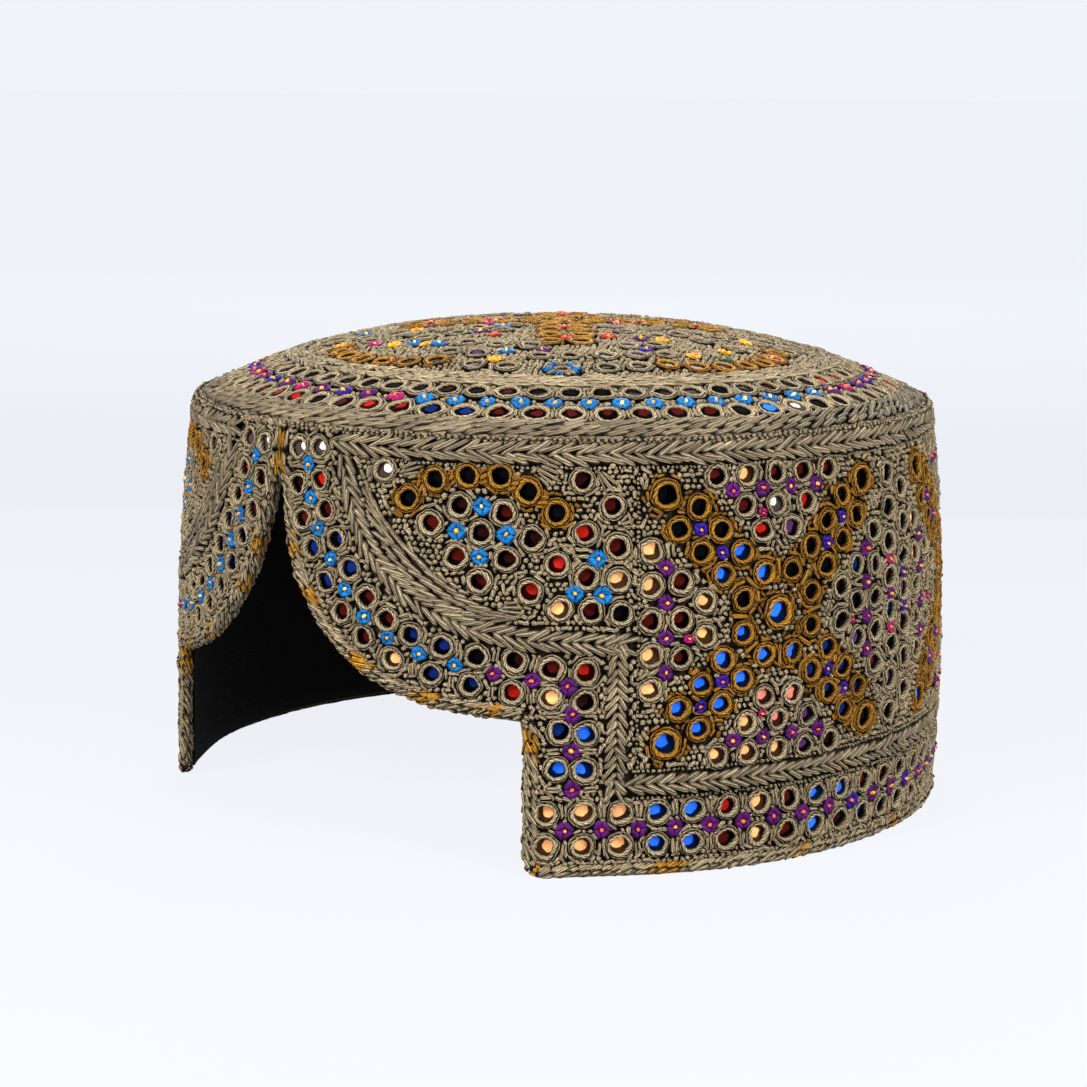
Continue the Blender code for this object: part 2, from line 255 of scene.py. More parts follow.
def mirror_ring(surface, u, v, radius, colour, gold=False):
    """A thread ring, its radius in mm, that holds a small mirror; colour picks the reflection painted on the
    mirror.
    """
    on_top = surface is crown
    turn = rng.uniform(0, 2 * pi)
    wide = radius * MM * rng.uniform(0.97, 1.03) * (1.0 if gold else PLAIN_RING_WIDER)
    tint = vary(np.array(GOLD if gold else KHAKI) * (1.5 if gold and on_top else 1.12), 0.1)
    size = (wide, wide * rng.uniform(0.95, 1.05), CROWN_RING_HIGH if on_top else MM)
    (gold_rings if gold else khaki_rings).on(surface, u, v, 0.0, turn, size, tint)
    # The mirror's painted reflection: a coloured patch set off to one side by far, reach wide, with painted
    # shade on the rest; white glints and the crown's mirrors get a smaller patch
    painted_lit, far = painted_reflection_way(surface, u) + rng.uniform(-0.35, 0.35), rng.uniform(0.25, 0.5)
    reach = rng.uniform(0.62, 0.8) * (0.72 if colour == "w" or on_top else 1.0)
    hole = wide * GLASS_SHARE
    glass.on(surface, u, v, CROWN_GLASS_OUT if on_top else GLASS_OUT, 0.0, (hole, hole, MM),
             vary(PAINTED_REFLECTIONS[colour], 0.15), (far * cos(painted_lit), far * sin(painted_lit), reach))
    covers[surface].add(u, v, wide, gold)
    if not on_top:
        outlined.append((u - 2 * BACK if u > BACK else u, v, wide, gold))


def flower(surface, u, v, colour, radius=2.05, turn=None):
    """Four silk petals, their reach in mm, round a knotted heart."""
    turn = (rng.uniform(-0.2, 0.2) if turn is None else turn) + pi / 4
    other_heart = PETAL_HEART_PALE if colour == "b" else PETAL_HEART_WARM
    heart = other_heart if rng.random() < 0.45 else PETAL_HEART
    wide = radius * MM
    flowers.on(surface, u, v, -0.6 * MM, turn, (wide, wide, MM), vary(PETALS[colour], 0.15), heart)
    covers[surface].add(u, v, wide * 0.92)


def stitch(surface, u, v, turn, length, width, high, tint=KHAKI, out=-0.7, into=khaki_stitches):
    """A satin stitch, its sizes and its out in mm."""
    into.on(surface, u, v, out * MM, turn, mm(length / 2, width / 2, high), vary(tint, 0.14))


def bars(surface, u, v, turn, start, length):
    """Two satin threads side by side, leading away from a point."""
    middle = (start + length / 2) * MM
    for aside in mm(-0.42, 0.42):
        x, y = u + middle * cos(turn) - aside * sin(turn), v + middle * sin(turn) + aside * cos(turn)
        stitch(surface, x, y, turn + rng.uniform(-0.08, 0.08), length, 0.85, 0.95)
        covers[surface].add(x, y, 0.55 * MM)


def braid(surface, line, width, pitch, slant, into, reach, tint=KHAKI_PALE):
    """Two rows of slanted satin stitches that meet along the middle of a line. Width and pitch are in mm."""
    u, v, turn = evenly(line, pitch * MM)
    for row in (-1, 1):
        shift = row * width * MM * 0.23
        x, y = u - shift * np.sin(turn), v + shift * np.cos(turn)
        for i in range(len(u)):
            lean = turn[i] + row * slant + rng.uniform(-0.16, 0.16)
            size = mm(width * reach / 2 * rng.uniform(0.88, 1.15),
                      pitch * sin(abs(slant)) * rng.uniform(0.63, 0.79), rng.uniform(0.8, 1.25))
            into.on(surface, x[i], y[i], -0.6 * MM, lean, size, vary(tint, 0.24))
    for a, b in zip(*evenly(line, 1.2 * MM)[:2]):
        covers[surface].add(a, b, width / 2 * MM)


def knots_at(surface, u):
    left = sin(u / ARC_RADIUS) < 0
    return knot_places["crown_knots" if surface is crown else "left_knots" if left else "right_knots"]


def knot(surface, u, v, radius):
    size = mm(radius * rng.uniform(0.9, 1.2), radius * rng.uniform(0.8, 1.05), rng.uniform(0.8, 1.1))
    knots_at(surface, u).on(surface, u, v, -1.1 * MM, rng.uniform(0, pi), size, vary(KHAKI, 0.16))


def knot_row(line, pitch, radius=0.5):
    """A row of knots on the side, in mm."""
    for a, b in zip(*evenly(line, pitch * MM)[:2]):
        knot(side, a, b, radius)
        covers[side].add(a, b, radius * MM)


# Bands of rings round the free edge

RING, LOBE_RING = 3.1, 2.95
#                       outer ring's and inner ring's along and height in mm, their mirrors' painted
#                       reflections, flower after them
LOBE_PAIRS = ((6.0, 92.3, 12.4, 92.9, "w", "w", "b"), (6.6, 84.2, 13.2, 85.7, "d", "r", "b"),
              (8.8, 76.5, 15.5, 79.2, "m", "m", "b"), (12.2, 70.3, 19.1, 73.0, "n", "n", "b"),
              (16.5, 63.2, 22.9, 66.6, "n", "n", "b"), (21.2, 56.9, 27.8, 60.7, "m", "m", "b"),
              (27.2, 51.9, 33.0, 56.3, "m", "m", "b"), (34.6, 47.6, 38.9, 53.3, "o", "n", "b"),
              (43.9, 45.0, 46.4, 51.4, "n", "n", "b"), (52.9, 43.2, 54.3, 49.7, "n", "k", "u"),
              (62.2, 41.8, 62.8, 49.0, "r", "d", "u"), (70.6, 40.9, 70.9, 47.4, "o", "m", "u"))
#                       along, height of the ring in mm, then its mirror's painted reflection
CORNER_RINGS = ((78.4, 46.6, "r"), (78.2, 39.9, "d"), (72.8, 33.4, "n"), (78.6, 32.8, "b"), (72.2, 24.9, "b"),
                (78.3, 24.5, "b"))
CORNER_FLOWERS = ((74.4, 43.4), (75.4, 37.2), (75.5, 28.9), (75.6, 20.2))
RIM_RINGS, RIM_FIRST, RIM_LOW, RIM_HIGH = 57, 42.4, 7.2 * MM, 14.7 * MM
# Letters of the painted reflections on the mirrors of the rim's upper and lower rows
RIM_REFLECTIONS_HIGH = "ooobbrombbmmkdnbdbkmnbbkdmnkbrkd"
RIM_REFLECTIONS_LOW = "ooobbmombdnnkndmbkbmnkmbdknbrmbk"


def lobe_bands():
    for way in (1, -1):
        for (x1, y1, x2, y2, outer, inner, petal), after in zip(LOBE_PAIRS, LOBE_PAIRS[1:] + (None,)):
            mirror_ring(side, *mm(way * x1, y1), LOBE_RING, outer)
            mirror_ring(side, *mm(way * x2, y2), LOBE_RING, inner)
            if after:
                x, y = mm((x1 + x2 + after[0] + after[2]) / 4, (y1 + y2 + after[1] + after[3]) / 4)
                along = atan2(after[1] - y1 + after[3] - y2, after[0] - x1 + after[2] - x2)
                flower(side, way * x, y, petal, 1.75, along * way)
                for aside in (pi / 2, -pi / 2):
                    bars(side, way * x, y, atan2(sin(along + aside), way * cos(along + aside)), 2.5, 3.0)
        for x, y, colour in CORNER_RINGS:
            mirror_ring(side, *mm(way * x, y), RING, colour)
        for x, y in CORNER_FLOWERS:
            flower(side, *mm(way * x, y), "u")
            for turn in (0.0, pi):
                bars(side, *mm(way * x, y), turn, 2.4, 3.4)


def apex_strands():
    """Gold threads laid over the top of the opening."""
    for x in np.arange(-1.8, 1.9, 0.9):
        for y in (88.8, 93.5):
            spot = mm(x + rng.uniform(-0.2, 0.2), y + rng.uniform(-0.6, 0.6))
            tint = GOLD if abs(x) < 1 else KHAKI
            stitch(side, *spot, pi / 2 + rng.uniform(-0.12, 0.12), 4.6, 0.9, 1.1, tint, -0.5, gold_stitches)
    for y in np.arange(86.5, 95, 1.5):
        covers[side].add(0.0, y * MM, 2.3 * MM)


def rim_bands():
    span, last = 360 - 2 * RIM_FIRST, RIM_RINGS - 1
    for i in range(RIM_RINGS):
        crowded = -0.5 * max(0.0, 1 - i / 5) + 0.5 * max(0.0, 1 - (last - i) / 5)
        x = at_angle(RIM_FIRST + span * i / last + crowded)
        mirror_ring(side, x, RIM_HIGH, RING, RIM_REFLECTIONS_HIGH[i % len(RIM_REFLECTIONS_HIGH)])
        mirror_ring(side, x, RIM_LOW, RING, RIM_REFLECTIONS_LOW[i % len(RIM_REFLECTIONS_LOW)])
        if i < last:
            x, y = x + at_angle(span / last) / 2, (RIM_LOW + RIM_HIGH) / 2
            flower(side, x, y, "u" if i < 9 or i % 3 else "v")
            for turn in (pi / 2, -pi / 2):
                bars(side, x, y, turn, 2.6, 3.6)


# Panels

#                       along, height in mm, the mirror's painted reflection, gold or khaki
LOBE_FIELD = ((37.2, 83.6, "k", 1), (43.6, 88.0, "k", 1), (51.3, 89.1, "k", 1), (58.8, 89.4, "k", 1),
              (65.1, 86.1, "k", 1), (71.5, 81.7, "k", 1),
              (49.6, 82.6, "d", 0), (42.9, 78.4, "m", 0), (59.7, 81.3, "m", 0), (54.7, 76.9, "d", 0),
              (49.1, 71.3, "m", 0), (60.5, 71.2, "d", 0), (54.5, 66.2, "m", 0), (66.3, 76.0, "d", 0),
              (78.0, 77.2, "r", 0), (71.8, 70.4, "r", 0), (65.9, 64.4, "r", 0), (77.2, 88.8, "d", 0),
              (84.0, 83.0, "m", 0), (85.2, 74.3, "m", 0), (78.3, 67.6, "m", 0), (85.4, 67.0, "o", 0),
              (72.6, 60.6, "o", 0), (79.4, 60.2, "m", 0), (86.0, 59.6, "k", 0), (31.0, 89.2, "w", 0))
LOBE_FIELD_FLOWERS = ((54.8, 82.6), (49.1, 76.9), (60.5, 76.6), (54.5, 71.7), (80.8, 71.6), (75.8, 64.0),
                      (82.0, 63.6))
LOBE_BRAID = ((20.5, 89.5), (22.9, 82.1), (26.9, 73.5), (32.2, 67.3), (40.9, 60.7), (52.5, 56.0),
              (65.7, 53.8), (79.0, 53.0), (87.6, 52.6))
LOBE_LEG = ((85.4, 53.4), (85.3, 35.0), (85.0, 18.8))
LEAF_HALF = 2.1 * MM
INNER_LEAF = ((27.6, 83.0), (30.4, 77.8), (34.0, 73.2), (39.2, 68.0), (45.1, 63.6), (51.6, 60.4),
              (60.5, 58.2))
#            along, height in mm, turn in degrees, stitches
LEAVES = ((69.5, 90.0, -25, 5), (62.0, 60.2, 4, 4), (82.5, 88.5, -50, 3), (37.5, 89.8, 20, 3))
LOBE_PANEL_END = 89.9

STARS = (74.4, 124.0, 180.0, -124.0, -74.4)
STAR_HEIGHT, STAR_REACH, STAR_EIGHT, STAR_TIP = 57.9 * MM, 31.2 * MM, 10.0, 39.0
#            distance from the star's middle, then places across, both in mm
STAR_FIELD = ((18.7, (-3.9, 3.9)), (24.3, (-8.4, 0.0, 8.4)), (31.2, (-15.4, -7.7, 0.0, 7.7, 15.4)))
STAR_FIELD_FLOWERS = ((22.5, (-4.2,)), (27.9, (-11.6, -3.9, 3.9, 11.6)))
#                       painted reflections on the field's mirrors, by side of the star: right, top, left,
#                       bottom
STAR_FIELD_REFLECTIONS = (("kd", "vkn", "mkkvd"), ("rv", "mwr", "mommm"), ("oo", "mmm", "oomoo"),
                    ("pp", "opv", "ooovd"))
STAR_ARM = ((16.7, -3.4), (16.7, 3.4), (24.1, -3.4), (24.1, 3.4), (31.6, -3.4), (31.6, 3.4))


def mirrored(way, line):
    return [mm(way * x, y) for x, y in line]


def lobe_panels(way):
    for x, y, colour, gold in LOBE_FIELD:
        mirror_ring(side, *mm(way * x, y), 3.3 if gold else 3.0, colour, bool(gold))
    for x, y in LOBE_FIELD_FLOWERS:
        flower(side, *mm(way * x, y), "b")
    for (x, y, _, gold), (x2, y2, _, gold_too) in zip(LOBE_FIELD, LOBE_FIELD[1:]):
        if gold and gold_too:
            u, v = mm(way * (x + x2) / 2, (y + y2) / 2)
            lean = atan2(y2 - y, way * (x2 - x))
            for aside in mm(-1.3, 0.0, 1.3):
                turn = lean + 0.9 * way * rng.uniform(0.6, 1)
                stitch(side, u - aside * sin(lean), v + aside * cos(lean), turn, 2.0, 1.1, 1.0, GOLD,
                       into=gold_stitches)
    own = braid_places["lobe_braid_right" if way > 0 else "lobe_braid_left"]
    braid(side, mirrored(way, smooth_line(LOBE_BRAID)), 5.3, 2.5, 0.42 * way, own, 1.15)
    braid(side, mirrored(way, LOBE_LEG), 4.8, 1.9, 0.58 * way, own, 0.95)
    line = mirrored(way, smooth_line(INNER_LEAF))
    for row in (-1.0, 0.0, 1.0):
        u, v, turn = evenly(line, 3.1 * MM)
        bulge = np.sin(np.linspace(0.15, pi - 0.15, len(u)))
        aside = row * LEAF_HALF * bulge
        for x, y, lean, wide in zip(u - aside * np.sin(turn), v + aside * np.cos(turn), turn, bulge):
            stitch(side, x, y, lean + (0.16 * way - row * 0.1) * rng.uniform(0.5, 1.6), rng.uniform(5.6, 7.4),
                   (0.8 + 0.6 * wide) * rng.uniform(0.9, 1.15), rng.uniform(0.9, 1.3), KHAKI_PALE)
    u, v, _ = evenly(line, 1.2 * MM)
    for a, b, share in zip(u, v, np.sin(np.linspace(0.15, pi - 0.15, len(u)))):
        covers[side].add(a, b, (0.7 + 1.8 * share) * MM)
    for x, y, turn, count in LEAVES:
        (u, v), lean = mm(way * x, y), radians(turn) * way
        for k in range(count):
            row = k - (count - 1) / 2
            stitch(side, u - row * 0.95 * MM * sin(lean), v + row * 0.95 * MM * cos(lean),
                   lean + 0.12 * (k - count / 2), 6.5 - abs(row) * 1.5, 0.95, 1.0, KHAKI_PALE)
            covers[side].add(u, v, 1.4 * MM)
    knot_row(mirrored(way, ((LOBE_PANEL_END, 20), (LOBE_PANEL_END, 91))), 1.05)


def star_panel(angle):
    x0, y0 = at_angle(angle), STAR_HEIGHT
    flip = -1 if angle < 0 else 1

    def spot(far, a):
        return x0 + far * MM * cos(a), y0 + far * MM * sin(a)

    for k in range(8):
        a = radians(22.5 + 45 * k)
        low_left = cos(a) * flip < 0.3 or sin(a) < -0.4
        mirror_ring(side, *spot(STAR_EIGHT, a), RING, "b" if low_left and k != 3 else "k", True)
    for k in range(8):
        a = radians(45 * k)
        u, v = spot(STAR_EIGHT + 0.2, a)
        stitch(side, u, v, a + rng.uniform(-0.2, 0.2), 4.6, 1.3, 1.0, GOLD, into=gold_stitches)
        covers[side].add(u, v, 1.3 * MM, True)
    mirror_ring(side, x0, y0, 4.3, "b", True)
    outlined.pop()
    for quarter in range(4):
        a = radians(45 + 90 * quarter)
        left, low = cos(a) * flip < 0, sin(a) < 0
        colour = "b" if left and low else ("n" if low else "k")
        for n, (u, v) in enumerate(STAR_ARM):
            mirror_ring(side, x0 + (u * cos(a) - v * sin(a)) * MM, y0 + (u * sin(a) + v * cos(a)) * MM, 3.15,
                        "b" if left and n < 2 and not low else colour, True)
        for far in (20.4, 27.8):
            flower(side, *spot(far, a), "v", 1.6, a)
        mirror_ring(side, *spot(STAR_TIP, a), 3.9, "b" if left and low else "k", True)
    for way in range(4):
        a = radians(90 * way)

        def field_spot(far, across):
            if way % 2:
                return x0 + across * MM * flip, y0 + far * sin(a) * MM
            return x0 + far * cos(a) * MM, y0 + across * MM

        kinds = STAR_FIELD_REFLECTIONS[(2 - way) % 4 if flip < 0 and way % 2 == 0 else way]
        for (far, places), colours in zip(STAR_FIELD, kinds):
            for across, colour in zip(places, colours):
                mirror_ring(side, *field_spot(far, across), LOBE_RING, colour)
        for far, places in STAR_FIELD_FLOWERS:
            for across in places:
                petal, radius = ("u", 1.85) if far > 25 else ("g", 1.1)
                flower(side, *field_spot(far, across), petal, radius, pi / 4 * rng.integers(0, 2))


def between_stars():
    """Columns of plain rings in the lens between two stars."""
    for a, b in ((74.4, 124.0), (124.0, 180.0), (-124.0, -74.4), (-180.0, -124.0)):
        room = at_angle(b - a) - 2 * STAR_REACH
        count = round(room / (7.4 * MM)) - 1
        for k in range(count):
            x = at_angle(a) + STAR_REACH + room * (k + 1) / (count + 1)
            rows = 8 if k % 2 == 0 else 7
            for j in range(rows):
                y = STAR_HEIGHT + (j - (rows - 1) / 2) * 8.0 * MM
                mirror_ring(side, x + rng.uniform(-0.4, 0.4) * MM, y, 3.2, "kdmnkvd"[rng.integers(0, 7)])
                if 1 < j < rows - 3:
                    flower(side, x, y + 4.0 * MM, "vgu"[rng.integers(0, 3)], 1.7)


def side_borders():
    def level(start, height):
        return [(start, height * MM), (2 * BACK - start, height * MM)]

    first, low_first = 18.6 * MM, at_angle(53.6)
    braid(side, level(first, 94.4), 5.0, 2.7, 0.38, braid_places["band_top_braid"], 1.35)
    braid(side, level(low_first, 21.2), 4.7, 2.5, 0.4, braid_places["lower_braid"], 1.25)
    knot_row(level(first, 91.3), 1.1)
    knot_row([(-BACK, 97.3 * MM), (BACK, 97.3 * MM)], 1.5, 0.56)
    for height in (18.1, 24.3):
        knot_row(level(low_first, height), 1.15)


# Crown

CROWN_COUNT = 64
#                       distance from the middle, ring's radius in mm, painted mirror reflections from the
#                       12th on
CROWN_ROWS = ((81.4, 3.7, "mmmmmkbwkkkdkmrrnnmm"), (72.2, 3.3, "kkkdkkddkkrrkkkkdkmk"))
#            distance from the middle in mm, degrees from the photo's way, petals
CROWN_FLOWERS = ((47.6, -16.0, "b"), (46.4, -44.3, "y"), (47.4, -48.5, "b"), (45.6, -40.5, "b"),
                 (49.9, -53.8, "y"), (51.5, -61.4, "g"), (49.4, -82.9, "b"), (52.3, 35.7, "y"),
                 (51.3, 48.2, "y"), (55.8, 42.8, "e"), (20.5, -66.0, "g"), (17.0, -82.0, "u"),
                 (14.7, 67.2, "g"), (31.5, 19.9, "r"), (35.9, 30.7, "u"), (38.5, 38.0, "y"),
                 (47.9, 67.6, "y"), (58.8, 58.0, "g"), (56.6, -72.0, "y"), (33.0, -30.0, "r"))
BURST = (59.6, -0.2)
SHOULDER_THREADS = 170


def on_crown(angle_deg, radius):
    """The place at an angle and a distance in mm from the middle."""
    a, radius = radians(angle_deg), radius * MM
    return radius * sin(a), -radius * cos(a)


def crown_rows():
    """Two rows of rings with flowers between them, and the laid bands inside them."""
    for i in range(CROWN_COUNT):
        angle, half = 360 * i / CROWN_COUNT, 180 / CROWN_COUNT
        for far, radius, colours in CROWN_ROWS:
            mirror_ring(crown, *on_crown(angle, far), radius, colours[(i + 12) % 20])
        spot = on_crown(angle + half, 76.9)
        seen = (angle - PHOTO_WAY + 180) % 360 - 180
        flower(crown, *spot, "b" if -28 < seen < 50 else "vugu"[i % 4], 2.1, radians(angle) - pi / 2)
        way = radians(angle + half) - pi / 2
        bars(crown, *spot, way, 2.6, 3.6)
        bars(crown, *spot, way + pi, 2.4, 3.0)
    for far, width in ((68.0, 2.6), (65.4, 2.4)):
        circle = [on_crown(a, far) for a in np.linspace(0, 360, 181)]
        braid(crown, circle, width, 3.0, 0.24, braid_places["crown_ring"], 2.3, KHAKI)


def crown_shoulder():
    """The thick laid band round the edge of the crown, with threads and knots under it."""
    band = cord_places["seam_cord_work"]
    for far in (84.8, 86.6, 88.4):
        for angle in np.arange(rng.uniform(0, 2), 360, 2.75):
            spot = on_crown(angle + rng.uniform(-0.3, 0.3), far + rng.uniform(-0.2, 0.2))
            turn = radians(angle) + 0.34 + rng.uniform(-0.09, 0.09)
            size = mm(rng.uniform(3.0, 4.0), rng.uniform(0.68, 0.84), rng.uniform(1.1, 1.6))
            band.on(crown, *spot, -0.85 * MM, turn, size, vary(KHAKI_DEEP, 0.26))
    for i in range(SHOULDER_THREADS):
        tint = np.array(KHAKI_DEEP) * (0.8 + 0.2 * (i % 3))
        for far, out in ((89.5, -1.15 * MM), (90.9, -1.3 * MM)):
            angle = 360 * i / SHOULDER_THREADS + far
            band.on(crown, *on_crown(angle, far), out, radians(angle) + 0.12, mm(2.0, 0.6, 0.9), tint)
    for far in (90.3, 91.5):
        for angle in np.arange(0, 360, degrees(1.5 / far)):
            knot(crown, *on_crown(angle, far), 0.62)
    for angle in np.arange(0, 360, 1.2):
        covers[crown].add(*on_crown(angle, 87.1), 3.1 * MM)


def crown_pattern():
    """Flowers, burst, cross and gold arcs, then plain rings and a few flowers where there is room."""
    for far, from_photo, colour in CROWN_FLOWERS:
        angle = PHOTO_WAY + from_photo
        flower(crown, *on_crown(angle, far), colour, 1.9, radians(angle))
    blue_burst()
    gold_cross()
    for k in range(4):
        middle = PHOTO_WAY - 51 + 96 * (k % 2) + 180 * (k // 2)
        for j in range(-3, 4):
            mirror_ring(crown, *on_crown(middle + j * 6.6, 61.0 - 0.45 * j * j), 3.2, "k", True)
    for n, far in enumerate((58.0, 50.0, 42.0, 34.0, 26.0, 18.0)):
        count = int(2 * pi * far / 7.6)
        for i in range(count):
            x, y = on_crown(360 * i / count + 11 * n, far)
            if crown_free(x, y, 3.0 * MM):
                mirror_ring(crown, x + rng.uniform(-0.5, 0.5) * MM, y + rng.uniform(-0.5, 0.5) * MM,
                            rng.uniform(2.7, 3.1), "kdkkkkmkdkdpkv"[rng.integers(0, 14)])
    for n, far in enumerate((54.2, 46.0, 38.0, 30.0, 22.0)):
        count = int(2 * pi * far / 8.2)
        for i in range(count):
            spot = on_crown(360 * i / count + 17 * n, far)
            if crown_free(*spot, MM) and rng.random() < 0.12:
                flower(crown, *spot, "bgrbyuve"[rng.integers(0, 8)], 1.8)


def blue_burst():
    """A plain ring with blue silk threads round it."""
    x, y = on_crown(PHOTO_WAY + BURST[1], BURST[0])
    mirror_ring(crown, x, y, 2.2, "d")
    for k in range(16):
        a = 2 * pi * k / 16 + rng.uniform(-0.08, 0.08)
        stitch(crown, x + 3.4 * MM * cos(a), y + 3.4 * MM * sin(a), a, 2.4, 1.1, 1.0,
               np.array(PETALS["b"]) * 1.7 if k % 3 else KHAKI_PALE, -0.5)
    covers[crown].add(x, y, 4.4 * MM)


def gold_cross():
    for k in range(4):
        a = PHOTO_WAY + 1 + 90 * k
        for far in (8.0, 15.2, 22.4, 29.6, 36.8):
            x, y = on_crown(a, far)
            for row in mm(-3.6, 3.6):
                mirror_ring(crown, x + row * cos(radians(a)), y + row * sin(radians(a)), 3.3, "k", True)
        for far in (18.8, 33.2):
            flower(crown, *on_crown(a, far), "r", 1.6)
    mirror_ring(crown, 0.0, 0.0, 3.6, "k", True)


def crown_free(u, v, radius):
    return not any((a - u) ** 2 + (b - v) ** 2 < (radius + wide * 0.92) ** 2
                   for a, b, wide, _ in covers[crown].discs)


# Filling: knots, and short threads that hug the rings

FILL, FILL_ROW = 1.42 * MM, 0.866
FLOOR_PLACES = 2400


def edge_floor():
    """Along and height of the line just inside the edge cord, one height for each place along."""
    line, last = inset_edge(2.6 * MM), FLOOR_PLACES - 1
    heights = np.zeros(FLOOR_PLACES)
    np.maximum.at(heights, np.clip((line[:, 0] + BACK) / (2 * BACK) * last, 0, last).astype(int), line[:, 1])
    for i in range(1, FLOOR_PLACES):
        if heights[i] == 0.0:
            heights[i] = heights[i - 1]
    return np.linspace(-BACK, BACK, FLOOR_PLACES), heights


FLOOR_ALONG, FLOOR_HIGH = edge_floor()


def floor_height(u):
    return np.interp(u, FLOOR_ALONG, FLOOR_HIGH)


def outline_rings():
    """Short threads that run round each ring on the side, where there is room."""
    cover, made = covers[side], []
    cover.ready()
    for u, v, radius, gold in outlined:
        far = radius + 0.46 * MM
        count, start = round(2 * pi * far / (1.9 * MM)), rng.uniform(0, 1)
        for k in range(count):
            a = 2 * pi * (k + start) / count + rng.uniform(-0.08, 0.08)
            x, y = u + far * cos(a), v + far * sin(a)
            if rng.random() <= (0.34 if gold else 0.3) and cover.nearest(x, y, 0.6 * MM)[0] > 0.12 * MM:
                made.append((x, y, a + pi / 2 + rng.uniform(-0.12, 0.12), gold))
    for x, y, turn, gold in made:
        length, width = rng.uniform(2.1, 2.9), rng.uniform(0.85, 1.1)
        if floor_height(x) < y:
            stitch(side, x, y, turn, length, width, rng.uniform(0.85, 1.05), GOLD if gold else KHAKI, -0.85,
                   gold_stitches if gold else khaki_stitches)
            cover.add(x, y, 0.55 * MM, gold)


def fill(surface, spots):
    """Knots with short threads among them, gold ones beside gold rings."""
    cover, on_top = covers[surface], surface is crown
    cover.ready()
    for u, v in spots:
        free, toward, gold = cover.nearest(u, v)
        if free < 0.16 * MM:
            continue
        if rng.random() < 0.34 and not gold:
            stitch(surface, u, v, toward + pi / 2 + rng.uniform(-0.4, 0.4), rng.uniform(1.7, 2.5), 1.2,
                   rng.uniform(0.85, 1.15), KHAKI, -1.15 if on_top else -0.95)
        elif gold and free < 0.9 * MM and rng.random() < 0.8:
            stitch(surface, u, v, toward + pi / 2 + rng.uniform(-0.5, 0.5), rng.uniform(1.3, 2.0), 1.0,
                   rng.uniform(0.8, 1.05), GOLD_DEEP, -0.95, gold_stitches)
        else:
            size = mm(rng.uniform(0.68, 0.92), rng.uniform(0.6, 0.76), rng.uniform(0.9, 1.25))
            out = (-1.35 if on_top else -1.15) * MM
            knots_at(surface, u).on(surface, u, v, out, rng.uniform(0, pi), size, vary(KHAKI, 0.2))


def hex_spots(low_u, high_u, low_v, high_v):
    for j in range(int((high_v - low_v) / (FILL * FILL_ROW))):
        for i in range(int((high_u - low_u) / FILL)):
            yield (low_u + (i + 0.5 * (j % 2)) * FILL + rng.uniform(-0.2, 0.2) * MM,
                   low_v + (j + 0.5) * FILL * FILL_ROW + rng.uniform(-0.2, 0.2) * MM)


def fill_all():
    for a, b in inset_edge(2.2 * MM)[::2]:
        covers[side].add(a, b, 0.55 * MM)
    outline_rings()
    fill(side, [(a, b) for a, b in hex_spots(-BACK, BACK, *mm(1.5, 97.9)) if b > floor_height(a)])
    fill(crown, [(a, b) for a, b in hex_spots(*mm(-88, 88, -88, 88)) if hypot(a, b) < 87.4 * MM])


# Cords

#            gold wraps on the edge cord: along, height, half length in mm
WRAPS = ((0.0, 90.0, 4.0), (4.4, 69.0, 3.0), (9.5, 57.5, 2.6), (24.0, 42.5, 3.2), (42.0, 38.0, 3.2),
         (58.0, 36.5, 2.4), (65.2, 30.0, 3.0), (67.5, 1.0, 3.2), (98.0, 0.0, 4.0), (133.0, 0.0, 3.2),
         (168.0, 0.0, 3.2), (215.0, 0.0, 3.2), (262.0, 0.0, 3.2))
CORD_ROWS = (-78, -34, 10, 52, -122, -168, 150)     # degrees round the cord, 0 outwards
CORD_SLANT, CORD_STITCH, CORD_STEP, WRAP_STEPS, WRAP_BRIGHTER = 0.4, 5.4, 5, 1.4, 1.4


def edge_cord_line():
    """Along and height of the edge cord, then its middle, outward and forward directions in space."""
    u, v, _ = evenly(inset_edge(EDGE_CORD_HALF), 0.5 * MM)
    middle = side(u, v, -EDGE_CORD_DEPTH / 2)
    return u, v, (middle, unit(side(u, v, 0.0) - middle), unit(np.gradient(middle, axis=0)))


def seam_cord_line():
    """Middle, outward and forward directions of a line round the crown's edge."""
    a, out = np.linspace(0, 2 * pi, 300, endpoint=False), -1.2 * MM
    x, y = 87.0 * MM * np.sin(a), -87.0 * MM * np.cos(a)
    middle = crown(x, y, out)
    return middle, unit(crown(x, y, out + MM) - middle), unit(np.roll(middle, -1, axis=0) - middle)


